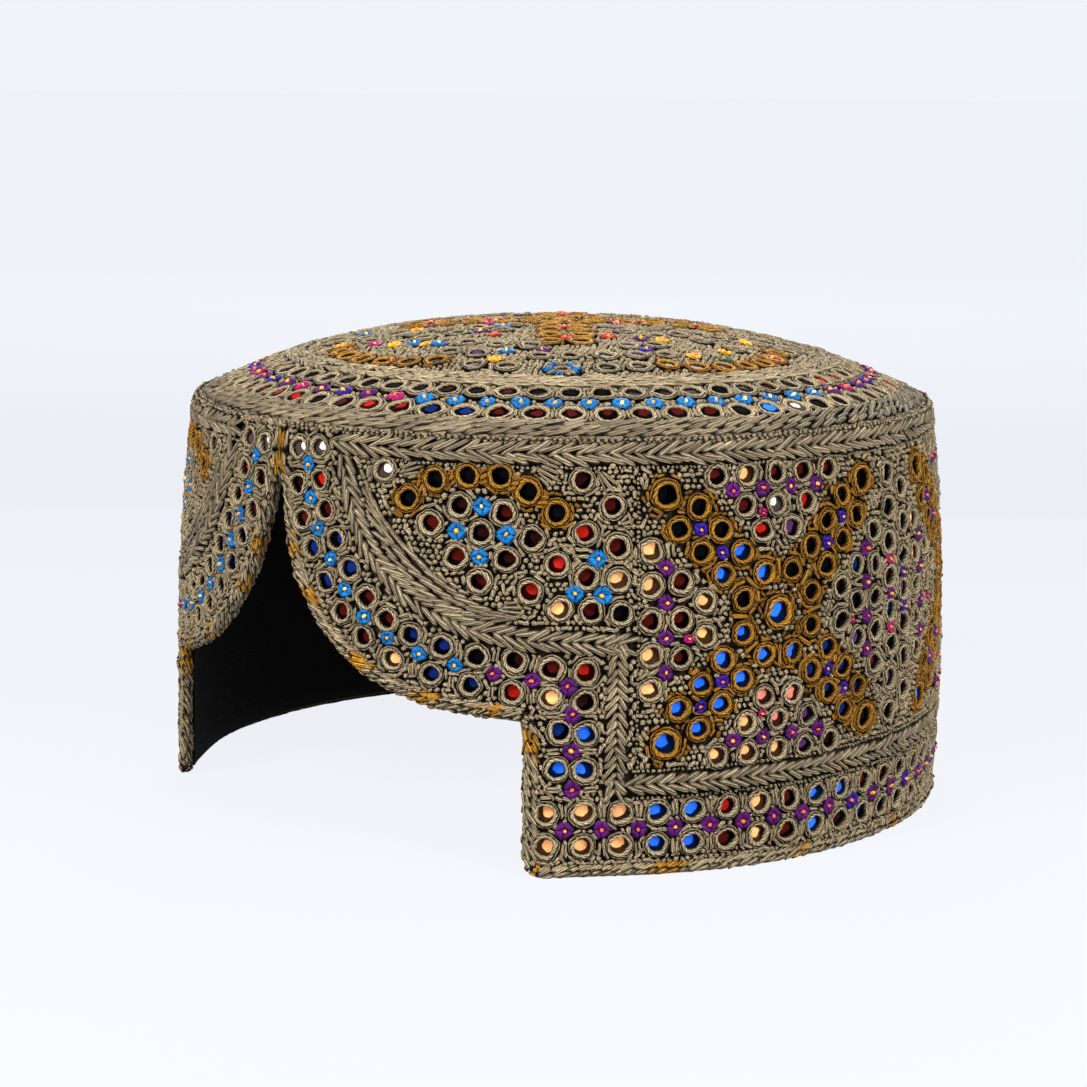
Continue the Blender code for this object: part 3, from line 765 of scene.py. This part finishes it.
def edge_cord_work():
    """Stitches in rows round the edge cord. Rows inside are left out where the lining comes down over it."""
    u, v, (middle, outward, forward) = edge_cord_line()
    wraps, last = [], len(u) - 1
    for x, y, half in WRAPS:
        for way in (1, -1):
            near = int(np.argmin((u - way * x * MM) ** 2 + (v - y * MM) ** 2))
            wraps.append((near - round(WRAP_STEPS * half), near + round(WRAP_STEPS * half)))
    lined = (np.abs(u) > at_angle(STEP_ANGLE) + 5 * MM) & (v < 4 * MM)
    for row in CORD_ROWS:
        a = radians(row)
        for i in range(rng.integers(0, CORD_STEP), len(u), CORD_STEP):
            if cos(a) < -0.3 and lined[i]:
                continue
            facing = cos(a) * outward[i] + sin(a) * np.cross(outward[i], forward[i])
            across = np.cross(facing, forward[i])
            slant = CORD_SLANT * (0.1 if lined[i] and row < -60 else 1.0)
            way = cos(slant) * forward[i] + sin(slant) * across
            way = way + across * rng.uniform(-0.3, 0.3) * slant
            gold = any(low <= i < high for low, high in wraps) and rng.random() < 0.95
            bend = np.linalg.norm(forward[min(i + 4, last)] - forward[max(i - 4, 0)])
            share = 1.0 if bend < 0.25 else 0.55 if bend < 0.8 else 0.3
            size = mm(CORD_STITCH / 2 * rng.uniform(0.85, 1.2) * share, rng.uniform(0.56, 0.7),
                      rng.uniform(0.65, 0.95))
            tint = vary(np.array(GOLD) * WRAP_BRIGHTER if gold else KHAKI, 0.22)
            into = gold_stitches if gold else cord_places["edge_cord_work"]
            into.put(middle[i] + facing * MM, facing, unit(way), size, tint)


lobe_bands()
apex_strands()
rim_bands()
for way in (1, -1):
    lobe_panels(way)
for angle in STARS:
    star_panel(angle)
between_stars()
side_borders()
crown_rows()
crown_shoulder()
crown_pattern()
fill_all()
edge_cord_work()


# Small shapes, one unit wide, their heights in mm

def new_mesh(name, points, faces, uvs=None):
    mesh = bpy.data.meshes.new(name)
    mesh.from_pydata([tuple(map(float, p)) for p in points], [], [tuple(map(int, f)) for f in faces])
    if uvs is not None:
        layer = mesh.uv_layers.new(name="UVMap")
        layer.data.foreach_set("uv", np.array(uvs, "f").ravel())
    mesh.shade_smooth()
    mesh.validate()
    return mesh


def new_object(name, data):
    made = bpy.data.objects.new(name, data)
    bpy.context.scene.collection.objects.link(made)
    return made


def add_attribute(mesh, name, kind, key, values):
    mesh.attributes.new(name, kind, "POINT").data.foreach_set(key, np.asarray(values, "f").ravel())


def shape(name, points, faces, uvs, lifts):
    """Lift says how high each point stands, from 0 in a gap to 1 on top; the finishes paint shade from it."""
    mesh = new_mesh(name, points, faces, uvs)
    add_attribute(mesh, "lift", "FLOAT", "value", lifts)
    made = new_object(name, mesh)
    made.hide_render = True
    return made


def grid_faces(rows, columns, closed):
    """Quads of a grid, and their corners as shares of its width and height."""
    faces, uvs = [], []
    for j in range(rows - 1):
        for i in range(columns if closed else columns - 1):
            k = (i + 1) % columns
            faces.append((j * columns + i, j * columns + k, (j + 1) * columns + k, (j + 1) * columns + i))
            corners = ((i, j), (i + 1, j), (i + 1, j + 1), (i, j + 1))
            uvs += [(a / columns, b / (rows - 1)) for a, b in corners]
    return faces, uvs


def circle_points(sides, radius, z, turn=0.0):
    angles = [2 * pi * (i + turn) / sides for i in range(sides)]
    return [(radius * cos(a), radius * sin(a), z) for a in angles]


def ring_shape():
    #          radius as a share, height in mm, lift, from the outer foot to the inner one
    profile = ((1.0, -1.0, 0.0), (0.985, -0.35, 0.5), (0.93, -0.02, 0.95), (0.87, -0.4, 0.04),
               (0.805, 0.15, 0.9), (0.68, 0.22, 1.0), (0.6, -0.2, 0.7), (0.575, -1.2, 0.0))
    points = [p for r, z, _ in profile for p in circle_points(14, r, z)]
    lifts = [lift for *_, lift in profile for _ in range(14)]
    return shape("ring shape", points, *grid_faces(len(profile), 14, True), lifts)


def glass_shape():
    points = [(0, 0, 0)] + circle_points(12, 1, 0)
    faces = [(0, 1 + i, 1 + (i + 1) % 12) for i in range(12)]
    return shape("glass shape", points, faces, [points[c][:2] for f in faces for c in f], [1.0] * 13)


def stitch_shape():
    section = ((1, 0), (0.46, 0.88), (-0.46, 0.88), (-1, 0))
    stations = ((-1.0, 0.45), (-0.62, 0.95), (0.62, 0.95), (1.0, 0.45))
    points = [(x, y * s, z * (0.25 + 0.75 * s)) for x, s in stations for y, z in section]
    faces, uvs = grid_faces(4, 4, False)
    lifts = [0.0 if z == 0 else 1.0 if abs(x) < 0.9 else 0.35 for x, _ in stations for _, z in section]
    faces, uvs = faces + [(0, 1, 2, 3), (15, 14, 13, 12)], uvs + [(0.5, 0.5)] * 8
    return shape("stitch shape", points, faces, uvs, lifts)


def knot_shape():
    points = circle_points(6, 1.0, 0.0) + circle_points(6, 0.66, 0.86, 0.5) + [(0, 0, 1.0)]
    faces, uvs = grid_faces(2, 6, True)
    for i in range(6):
        faces.append((6 + i, 6 + (i + 1) % 6, 12))
        uvs += [(i / 6, 1.0), ((i + 1) / 6, 1.0), ((i + 0.5) / 6, 1.5)]
    return shape("knot shape", points, faces, uvs, [0.12] * 6 + [0.92] * 6 + [1.0])


def flower_shape():
    """Four satin petals round a knotted heart. The heart's corners have a second coordinate over 2."""
    points, faces, uvs = [], [], []
    for k in range(4):
        turn, first = pi / 2 * k, 12 * k
        for x, half, z in ((0.14, 0.16, 0.55), (0.48, 0.5, 0.95), (0.84, 0.66, 0.85), (1.0, 0.5, 0.25)):
            for y in (-half, 0.0, half):
                points.append((x * cos(turn) - y * sin(turn), x * sin(turn) + y * cos(turn),
                               z if y == 0.0 else z * 0.45))
        for j in range(3):
            for i in range(2):
                a = first + 3 * j + i
                faces.append((a, a + 3, a + 4, a + 1))
                uvs += [(b / 2, c / 3) for b, c in ((i, j), (i, j + 1), (i + 1, j + 1), (i + 1, j))]
    heart = len(points)
    points += circle_points(6, 0.22, 0.5) + circle_points(6, 0.18, 1.0) + [(0, 0, 1.15)]
    for i in range(6):
        a, b = heart + i, heart + (i + 1) % 6
        faces += [(a, b, b + 6, a + 6), (a + 6, b + 6, heart + 12)]
        uvs += [(i / 6, 3.0)] * 7
    petal = [0.1, 0.5, 0.1, 0.4, 0.9, 0.4, 0.5, 1.0, 0.5, 0.1, 0.5, 0.1]
    return shape("flower shape", points, faces, uvs, petal * 4 + [0.2] * 6 + [0.9] * 6 + [1.0])


# Copies of a shape at its places

def copies_tree():
    tree = bpy.data.node_groups.new("copies at places", "GeometryNodeTree")
    face, add = tree.interface, tree.nodes.new
    face.new_socket("Places", in_out="INPUT", socket_type="NodeSocketGeometry")
    shape_input = face.new_socket("Shape", in_out="INPUT", socket_type="NodeSocketObject")
    finish_input = face.new_socket("Finish", in_out="INPUT", socket_type="NodeSocketMaterial")
    face.new_socket("Copies", in_out="OUTPUT", socket_type="NodeSocketGeometry")

    def attribute(name):
        node = add("GeometryNodeInputNamedAttribute")
        node.data_type = "FLOAT_VECTOR"
        node.inputs["Name"].default_value = name
        return node.outputs["Attribute"]

    given, result = add("NodeGroupInput"), add("NodeGroupOutput")
    source, put = add("GeometryNodeObjectInfo"), add("GeometryNodeInstanceOnPoints")
    turn = add("FunctionNodeAxesToRotation")
    turn.primary_axis, turn.secondary_axis = "Z", "X"
    realize, paint = add("GeometryNodeRealizeInstances"), add("GeometryNodeSetMaterial")
    for start, end in ((given.outputs["Places"], put.inputs["Points"]),
                       (given.outputs["Shape"], source.inputs["Object"]),
                       (source.outputs["Geometry"], put.inputs["Instance"]),
                       (attribute("facing"), turn.inputs[0]), (attribute("way"), turn.inputs[1]),
                       (turn.outputs[0], put.inputs["Rotation"]), (attribute("size"), put.inputs["Scale"]),
                       (put.outputs["Instances"], realize.inputs["Geometry"]),
                       (realize.outputs["Geometry"], paint.inputs["Geometry"]),
                       (given.outputs["Finish"], paint.inputs["Material"]),
                       (paint.outputs["Geometry"], result.inputs["Copies"])):
        tree.links.new(start, end)
    return tree, shape_input.identifier, finish_input.identifier


TREE, SHAPE_INPUT, FINISH_INPUT = copies_tree()
WAVE_LENGTH, WAVE_PUSH, ROUGH = 4.0 * MM, 0.085 * MM, 0.035 * MM
WAVES = [(unit(rng.normal(size=3)) * rng.uniform(0.7, 1.6), unit(rng.normal(size=3)), rng.uniform(0, 6.28))
         for _ in range(16)]


def unevenly(mesh, rough):
    """Moves points a little, with their neighbours, so that nothing is quite regular."""
    points = np.zeros(len(mesh.vertices) * 3, "f")
    mesh.vertices.foreach_get("co", points)
    points = points.reshape(-1, 3).astype(float)
    shift = np.zeros_like(points)
    for way, push, phase in WAVES:
        shift += np.sin(points @ way * (2 * pi / WAVE_LENGTH) + phase)[:, None] * push
    points += shift * WAVE_PUSH + rng.normal(size=points.shape) * rough
    points[:, 2] = np.maximum(points[:, 2], 0.0)
    mesh.vertices.foreach_set("co", points.astype("f").ravel())
    mesh.update()


def show(name, mesh, slot_name, replaced=()):
    piece = new_object(name, mesh)
    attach(piece, "root")
    if replaced:
        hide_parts(*replaced)


def copies(name, places, shape_object, finish, slot_name, replaced=()):
    points = bpy.data.meshes.new(name)
    points.from_pydata(places.place, [], [])
    for key in ("facing", "way", "size", "mark"):
        add_attribute(points, key, "FLOAT_VECTOR", "vector", getattr(places, key))
    add_attribute(points, "tint", "FLOAT_COLOR", "color", [(*t, 1.0) for t in places.tint])
    holder = new_object(name + " places", points)
    modifier = holder.modifiers.new("copies", "NODES")
    modifier.node_group = TREE
    modifier[SHAPE_INPUT], modifier[FINISH_INPUT] = shape_object, finish
    graph = bpy.context.evaluated_depsgraph_get()
    done = holder.evaluated_get(graph)
    mesh = bpy.data.meshes.new_from_object(done, preserve_all_data_layers=True, depsgraph=graph)
    holder.modifiers.remove(modifier)
    bpy.data.objects.remove(holder)
    mesh.name = name
    for spare in ("facing", "way", "size"):
        if spare in mesh.attributes:
            mesh.attributes.remove(mesh.attributes[spare])
    unevenly(mesh, 0.0 if name == "mirrors" else ROUGH)
    show(name, mesh, slot_name, replaced)


# Materials

class Wire:
    """A value in a material, so that its maths is written as plain arithmetic."""

    def __init__(self, paint, socket):
        self.paint, self.socket = paint, socket

    def maths(self, operation, *values):
        return self.paint.node("ShaderNodeMath", {"operation": operation}, dict(enumerate(values)))

    def __add__(self, other):
        return self.maths("ADD", self, other)

    def __sub__(self, other):
        return self.maths("SUBTRACT", self, other)

    def __rsub__(self, other):
        return self.maths("SUBTRACT", other, self)

    def __mul__(self, other):
        return self.maths("MULTIPLY", self, other)

    def __pow__(self, other):
        return self.maths("POWER", self, other)

    def __gt__(self, other):
        return self.maths("GREATER_THAN", self, other)

    def sine(self):
        return self.maths("SINE", self)

    def absolute(self):
        return self.maths("ABSOLUTE", self)

    def clamped(self, low, high):
        return self.maths("MINIMUM", self.maths("MAXIMUM", self, low), high)

    def ramp(self, low, high):
        """0 below low, 1 above high, smooth between."""
        return self.paint.node("ShaderNodeMapRange", {"interpolation_type": "SMOOTHSTEP"},
                               {"Value": self, "From Min": low, "From Max": high})


class Paint:
    """One material made of nodes."""

    def __init__(self, name):
        self.material = bpy.data.materials.new(name)
        self.material.use_nodes = True
        self.tree = self.material.node_tree
        self.tree.nodes.clear()

    def node(self, kind, settings, values, output=0):
        made = self.tree.nodes.new(kind)
        for key, value in settings.items():
            setattr(made, key, value)
        for key, value in values.items():
            if isinstance(value, Wire):
                self.tree.links.new(value.socket, made.inputs[key])
            else:
                made.inputs[key].default_value = value
        return Wire(self, made.outputs[output])

    def attribute(self, name, output="Color"):
        return self.node("ShaderNodeAttribute", {"attribute_name": name}, {}, output)

    def parts(self, vector):
        made = self.node("ShaderNodeSeparateXYZ", {}, {0: vector}).socket.node
        return tuple(Wire(self, made.outputs[i]) for i in range(3))

    def place(self):
        return self.node("ShaderNodeTexCoord", {}, {}, "Object")

    def uv(self):
        return self.parts(self.node("ShaderNodeUVMap", {"uv_map": "UVMap"}, {}))[:2]

    def noise(self, scale, detail=2.0):
        return self.node("ShaderNodeTexNoise", {}, {"Vector": self.place(), "Scale": scale, "Detail": detail})

    def blend(self, factor, first, second):
        """Colours mixed; sockets 6 and 7 are the Mix node's colour inputs."""
        return self.node("ShaderNodeMix", {"data_type": "RGBA"}, {0: factor, 6: first, 7: second}, 2)

    def shaded(self, colour, value):
        """A colour times a value."""
        return self.node("ShaderNodeVectorMath", {"operation": "SCALE"}, {0: colour, "Scale": value})

    def bump(self, height, distance, strength=1.0):
        return self.node("ShaderNodeBump", {}, {"Height": height, "Distance": distance, "Strength": strength})

    def finish(self, values):
        return self.shown(self.node("ShaderNodeBsdfPrincipled", {}, values))

    def shown(self, shader):
        made = self.tree.nodes.new("ShaderNodeOutputMaterial")
        self.tree.links.new(shader.socket, made.inputs[0])
        return self.material


def thread_finish(name, around, across, seam=False):
    """Twisted thread, darkened by painted shade in its gaps and on its low sides, with so many plies around
    and across one stitch or ring.
    """
    paint = Paint(name)
    u, v = paint.uv()
    fuzz, loose, soiled = paint.noise(2400.0, 3.0), paint.noise(420.0), paint.noise(140.0)
    plies = (u * (2 * pi * around) + v * (2 * pi * across) + loose * 5.0).sine() * 0.5 + 0.5
    # Painted shade: darker where the shape stands low, in gaps and on sides, brightest on tops
    painted_gap_shade = paint.attribute("lift", "Fac").ramp(0.22, 1.0) * 0.98 + 0.02
    tone = (plies * 0.85 + 0.42) * (fuzz * 1.4 + 0.35) * (soiled * 0.7 + 0.65) * painted_gap_shade
    if seam:
        inner_row = 1.0 - ((v - 0.5) * 9.0).absolute().ramp(0.4, 1.0)
        dashes = ((u * (2 * pi * 13) + loose * 6.0).sine() > 0.1) * inner_row
        tone = tone * (1.0 - dashes * 0.75)
    colour = paint.shaded(paint.attribute("tint"), tone)
    return paint.finish({"Base Color": colour, "Roughness": fuzz * 0.3 + 0.5, "Specular IOR Level": 0.1,
                         "Normal": paint.bump(plies * 0.8 + fuzz * 0.5, 0.00032)})


def flower_finish():
    paint = Paint("silk flowers")
    _, v = paint.uv()
    fuzz = paint.noise(1500.0)
    plies = (v * (2 * pi * 1.5) + fuzz * 6.0).sine() * 0.5 + 0.5
    # Painted shade: petals and heart darker where they stand low
    painted_gap_shade = paint.attribute("lift", "Fac").ramp(0.0, 0.7) * 0.75 + 0.25
    bright_base = (1.0 - v.ramp(0.05, 0.65)) * 1.1 + 0.8
    petal = paint.shaded(paint.attribute("tint"), (plies * 0.9 + 0.55) * (fuzz + 0.55) * painted_gap_shade * bright_base)
    heart = paint.shaded(paint.attribute("mark"), fuzz * 0.5 + 0.75)
    return paint.finish({"Base Color": paint.blend(v > 2.0, petal, heart), "Roughness": 0.5,
                         "Specular IOR Level": 0.1, "Normal": paint.bump(plies * 0.7 + fuzz * 0.5, 0.0002)})


def glass_finish():
    """Each small mirror shows a painted reflection, a coloured patch that glows a little, with painted shade
    beside it; the real depth of its setting shades it too.
    """
    paint = Paint("small mirrors")
    x, y = paint.uv()
    painted_reflection_x, painted_reflection_y, reach = paint.parts(paint.attribute("mark", "Vector"))
    dx, dy = x - painted_reflection_x, y - painted_reflection_y
    far = (dx * dx + dy * dy) ** 0.5 + paint.noise(520.0, 1.0) * 0.5 - 0.25
    # Painted reflection: lit inside the patch, painted shade outside it
    painted_lit, cloudy = 1.0 - (far - reach).ramp(-0.08, 0.07), paint.noise(700.0, 3.0)
    painted_reflection_colour = paint.shaded(paint.attribute("tint"), (cloudy * 0.9 + 0.55) * painted_lit + 0.04)
    # The painted reflection also glows a little, as painted light
    return paint.finish({"Base Color": painted_reflection_colour, "Roughness": cloudy * 0.2 + 0.1, "Specular IOR Level": 0.008,
                         "Emission Color": painted_reflection_colour, "Emission Strength": 0.25})


def cloth_finish(name, colour, pale, thread, strength, roughness):
    """Woven cloth. The piece's own coordinates are metres along and up."""
    paint = Paint(name)
    warp, weft = ((way * (2 * pi / thread)).sine() for way in paint.uv())
    weave = warp * weft * 0.5 + 0.5
    fuzz, worn = paint.noise(900.0, 4.0), paint.noise(60.0, 3.0)
    share = (weave * 0.35 + fuzz * 0.5 + worn * 0.3).clamped(0.0, 1.0)
    tone = paint.blend(share, (*colour, 1.0), (*pale, 1.0))
    return paint.finish({"Base Color": tone, "Roughness": fuzz * 0.2 + roughness, "Specular IOR Level": 0.08,
                         "Normal": paint.bump(weave + fuzz * 0.4, 0.00025, strength)})


# Cloth, lining and cord cores

SHELL_ROWS, CROWN_STEPS, CROWN_SPOKES, CORE_SIDES = 28, 20, 128, 8


def outwards(mesh, join):
    """Joins points that meet where asked, and turns every face outwards."""
    work = bmesh.new()
    work.from_mesh(mesh)
    if join:
        bmesh.ops.remove_doubles(work, verts=work.verts, dist=1e-6)
    bmesh.ops.recalc_face_normals(work, faces=work.faces)
    work.to_mesh(mesh)
    work.free()
    return mesh


def closed_shell(name, outer, inner, closed, uv_at):
    """Two grids of points, rows by columns, joined round their edges."""
    rows, columns = len(outer), len(outer[0])
    count = rows * columns
    faces, _ = grid_faces(rows, columns, closed)
    faces += [tuple(c + count for c in reversed(f)) for f in faces]
    bottom, top = list(range(columns)), list(range(count - columns, count))
    if closed:
        rims = [(bottom + bottom[:1])[::-1], top + top[:1]]
    else:
        first, last = list(range(0, count, columns)), list(range(columns - 1, count, columns))
        rims = [bottom[::-1], top, first, last[::-1]]
    for rim in rims:
        faces += [(a, b, b + count, a + count) for a, b in zip(rim, rim[1:])]
    points = [p for grid in (outer, inner) for row in grid for p in row]
    flat = [q for row in uv_at for q in row] * 2
    return outwards(new_mesh(name, points, faces, [flat[c] for f in faces for c in f]), True)


def side_shell(name, outs, distance, top):
    """The side between two depths, from a line inside the free edge up to the top."""
    line = inset_edge(distance)
    kept = [line[0]]
    for point in line[1:]:
        if hypot(*(point - kept[-1])) > (1.0 * MM if abs(point[0]) < 75 * MM else 2.5 * MM):
            kept.append(point)
    u, low = np.array(kept).T
    u = np.maximum.accumulate(u)
    if u[-1] < BACK - 1e-4:
        u, low = np.append(u, BACK), np.append(low, low[-1])
    levels = [low + (top - low) * (j / (SHELL_ROWS - 1)) for j in range(SHELL_ROWS)]
    grids = [[side(u, level, out) for level in levels] for out in outs]
    return closed_shell(name, *grids, False, [list(zip(u, level)) for level in levels])


def crown_shell(name, outs, edge):
    """The crown between two depths, out to an edge."""
    radii = [0.2 * MM] + [edge * sin(pi / 2 * j / CROWN_STEPS) for j in range(1, CROWN_STEPS + 1)]
    a = np.linspace(0, 2 * pi, CROWN_SPOKES, endpoint=False)
    flat = [(r * np.sin(a), -r * np.cos(a)) for r in radii]
    grids = [[crown(x, y, out) for x, y in flat] for out in outs]
    return closed_shell(name, *grids, True, [list(zip(x, y)) for x, y in flat])


def core(name, middle, outward, forward, radius, closed):
    """A plain round cord along a line."""
    down, columns = np.cross(outward, forward), len(middle)
    points = [p for x, y, _ in circle_points(CORE_SIDES, 1.0, 0.0)
              for p in middle + radius * (x * outward + y * down)]
    faces, uvs = grid_faces(CORE_SIDES + 1, columns, closed)
    faces = [[c % len(points) for c in f] for f in faces]
    uvs = [(u * columns * MM, v * CORE_SIDES * MM) for u, v in uvs]
    return outwards(new_mesh(name, points, faces, uvs), False)


def build_pieces():
    thread = thread_finish("twisted thread", 4.0, 1.2)
    ring_thread = thread_finish("ring thread", 11.0, 5.0, seam=True)
    petals, small_mirrors = flower_finish(), glass_finish()
    cloth = cloth_finish("dark cloth", srgb(16, 13, 10), srgb(44, 38, 28), 0.0007, 0.7, 0.75)
    lining = cloth_finish("black lining", srgb(1, 1, 1), srgb(8, 8, 9), 0.0009, 0.5, 0.9)
    ring, disc, laid, bead, petal = ring_shape(), glass_shape(), stitch_shape(), knot_shape(), flower_shape()
    star_nodes = {kind: [f"star_{kind}_{i}" for i in range(1, 6)] for kind in ("ring", "mirror")}
    copies("khaki_ring_work", khaki_rings, ring, ring_thread, "khaki_thread")
    copies("gold_ring_work", gold_rings, ring, ring_thread, "gold_thread", star_nodes["ring"])
    copies("mirrors", glass, disc, small_mirrors, "mirror_glass", star_nodes["mirror"])
    copies("flower_work", flowers, petal, petals, "khaki_thread")
    copies("khaki_stitch_work", khaki_stitches, laid, thread, "khaki_thread")
    copies("gold_stitch_work", gold_stitches, laid, thread, "gold_thread")
    for name, node in BRAIDS.items():
        copies(name + "_work", braid_places[name], laid, thread, "khaki_thread", [node])
    for name, places in knot_places.items():
        copies(name, places, bead, thread, "khaki_thread")
    for name, places in cord_places.items():
        copies(name, places, laid, thread, "khaki_thread")
    for item in (ring, disc, laid, bead, petal):
        bpy.data.objects.remove(item)
    wall, inside = (CLOTH_OUT, CLOTH_INSIDE), (LINING_OUT, LINING_INSIDE)
    edge_line, seam_line = edge_cord_line()[2], seam_cord_line()
    for mesh, finish, slot_name, node in (
            (side_shell("side_cloth", wall, *mm(1.2, 97.4)), cloth, "dark_cloth", "side_band"),
            (side_shell("side_lining_cloth", inside, *mm(1.6, 95.1)), lining, "black_lining", "side_lining"),
            (crown_shell("crown_cloth", wall, 90.5 * MM), cloth, "dark_cloth", "crown"),
            (crown_shell("crown_lining_cloth", inside, 87.8 * MM), lining, "black_lining", "crown_lining"),
            (core("edge_cord_core", *edge_line, 1.0 * MM, False), cloth, "khaki_thread", "edge_cord"),
            (core("seam_cord_core", *seam_line, 0.6 * MM, True), cloth, "khaki_thread", "crown_seam_cord")):
        mesh.materials.append(finish)
        show(mesh.name, mesh, slot_name, [node])


# Stage, light and camera

FLOOR_HALF, WALL_AT, WALL_END, MEETING_HALF = 60, 0.41, 1.6, 0.012
FLOOR_NEAR, FLOOR_FAR = srgb(244, 245, 250), srgb(233, 236, 243)
WALL_FOOT, WALL, SKY = srgb(230, 233, 240), srgb(238, 241, 248), srgb(240, 243, 250)
FLOOR_GLOW, FLOOR_MATTE = 0.975, (0.025, 0.025, 0.026, 1.0)
#            place, size, watts
SOFTBOXES = (((-0.12, -1.35, 1.0), 0.4, 43.0), ((1.3, 0.05, 0.9), 0.5, 34.0), ((-1.0, 1.1, 0.9), 0.6, 18.0))
LAMP_COLOUR, LAMP_TARGET = (1.0, 0.985, 0.96), (0, 0, 0.06)
LENS_MM, SENSOR_MM = 86.27, 36.0
CAMERA_FAR, CAMERA_HIGH = 0.65208, 0.1721
YAW, PITCH, ROLL = -0.0067, 0.1723, 0.0112


def make_stage():
    h = FLOOR_HALF
    corners = [(-h, -h, 0), (h, -h, 0), (h, h, 0), (-h, h, 0)]
    floor = new_object("floor", new_mesh("floor", corners, [(0, 1, 2, 3)]))
    paint = Paint("pale floor")
    x, y, _ = paint.parts(paint.place())
    away = x * -sin(radians(PHOTO_WAY)) + y * cos(radians(PHOTO_WAY))
    floor_tone = paint.blend(away.ramp(-0.25, WALL_AT), (*FLOOR_NEAR, 1.0), (*FLOOR_FAR, 1.0))
    wall_tone = paint.blend(away.ramp(WALL_AT, WALL_END), (*WALL_FOOT, 1.0), (*WALL, 1.0))
    colour = paint.blend(away.ramp(WALL_AT - MEETING_HALF, WALL_AT + MEETING_HALF), floor_tone, wall_tone)
    glow = paint.node("ShaderNodeEmission", {}, {"Color": colour, "Strength": FLOOR_GLOW})
    matte = paint.node("ShaderNodeBsdfDiffuse", {}, {"Color": FLOOR_MATTE})
    floor.data.materials.append(paint.shown(paint.node("ShaderNodeAddShader", {}, {0: glow, 1: matte})))
    world = bpy.data.worlds.new("studio")
    world.use_nodes = True
    inputs = world.node_tree.nodes["Background"].inputs
    inputs[0].default_value, inputs[1].default_value = (*SKY, 1.0), 1.0
    bpy.context.scene.world = world
    for place, size, power in SOFTBOXES:
        light = bpy.data.lights.new("softbox", "AREA")
        light.size, light.energy, light.color = size, power, LAMP_COLOUR
        lamp = new_object("softbox", light)
        lamp.location = place
        lamp.rotation_euler = (Vector(LAMP_TARGET) - Vector(place)).to_track_quat("-Z", "Y").to_euler()


def make_camera():
    data = bpy.data.cameras.new("camera")
    data.lens, data.sensor_width = LENS_MM, SENSOR_MM
    camera = new_object("camera", data)
    ahead = Vector((sin(YAW) * cos(PITCH), cos(YAW) * cos(PITCH), -sin(PITCH)))
    right = Vector((cos(YAW), -sin(YAW), 0))
    up = right.cross(ahead)
    right, up = cos(ROLL) * right + sin(ROLL) * up, -sin(ROLL) * right + cos(ROLL) * up
    turn = Matrix.Rotation(radians(PHOTO_WAY), 3, "Z")
    axes = Matrix([turn @ right, turn @ up, -(turn @ ahead)]).transposed()
    place = turn @ Vector((0, -CAMERA_FAR, 0)) + Vector((0, AXIS_Y, CAMERA_HIGH))
    camera.matrix_world = Matrix.Translation(place) @ axes.to_4x4()
    bpy.context.scene.camera = camera
    bpy.context.scene.view_settings.view_transform = "Standard"


make_camera()
make_stage()
build_pieces()
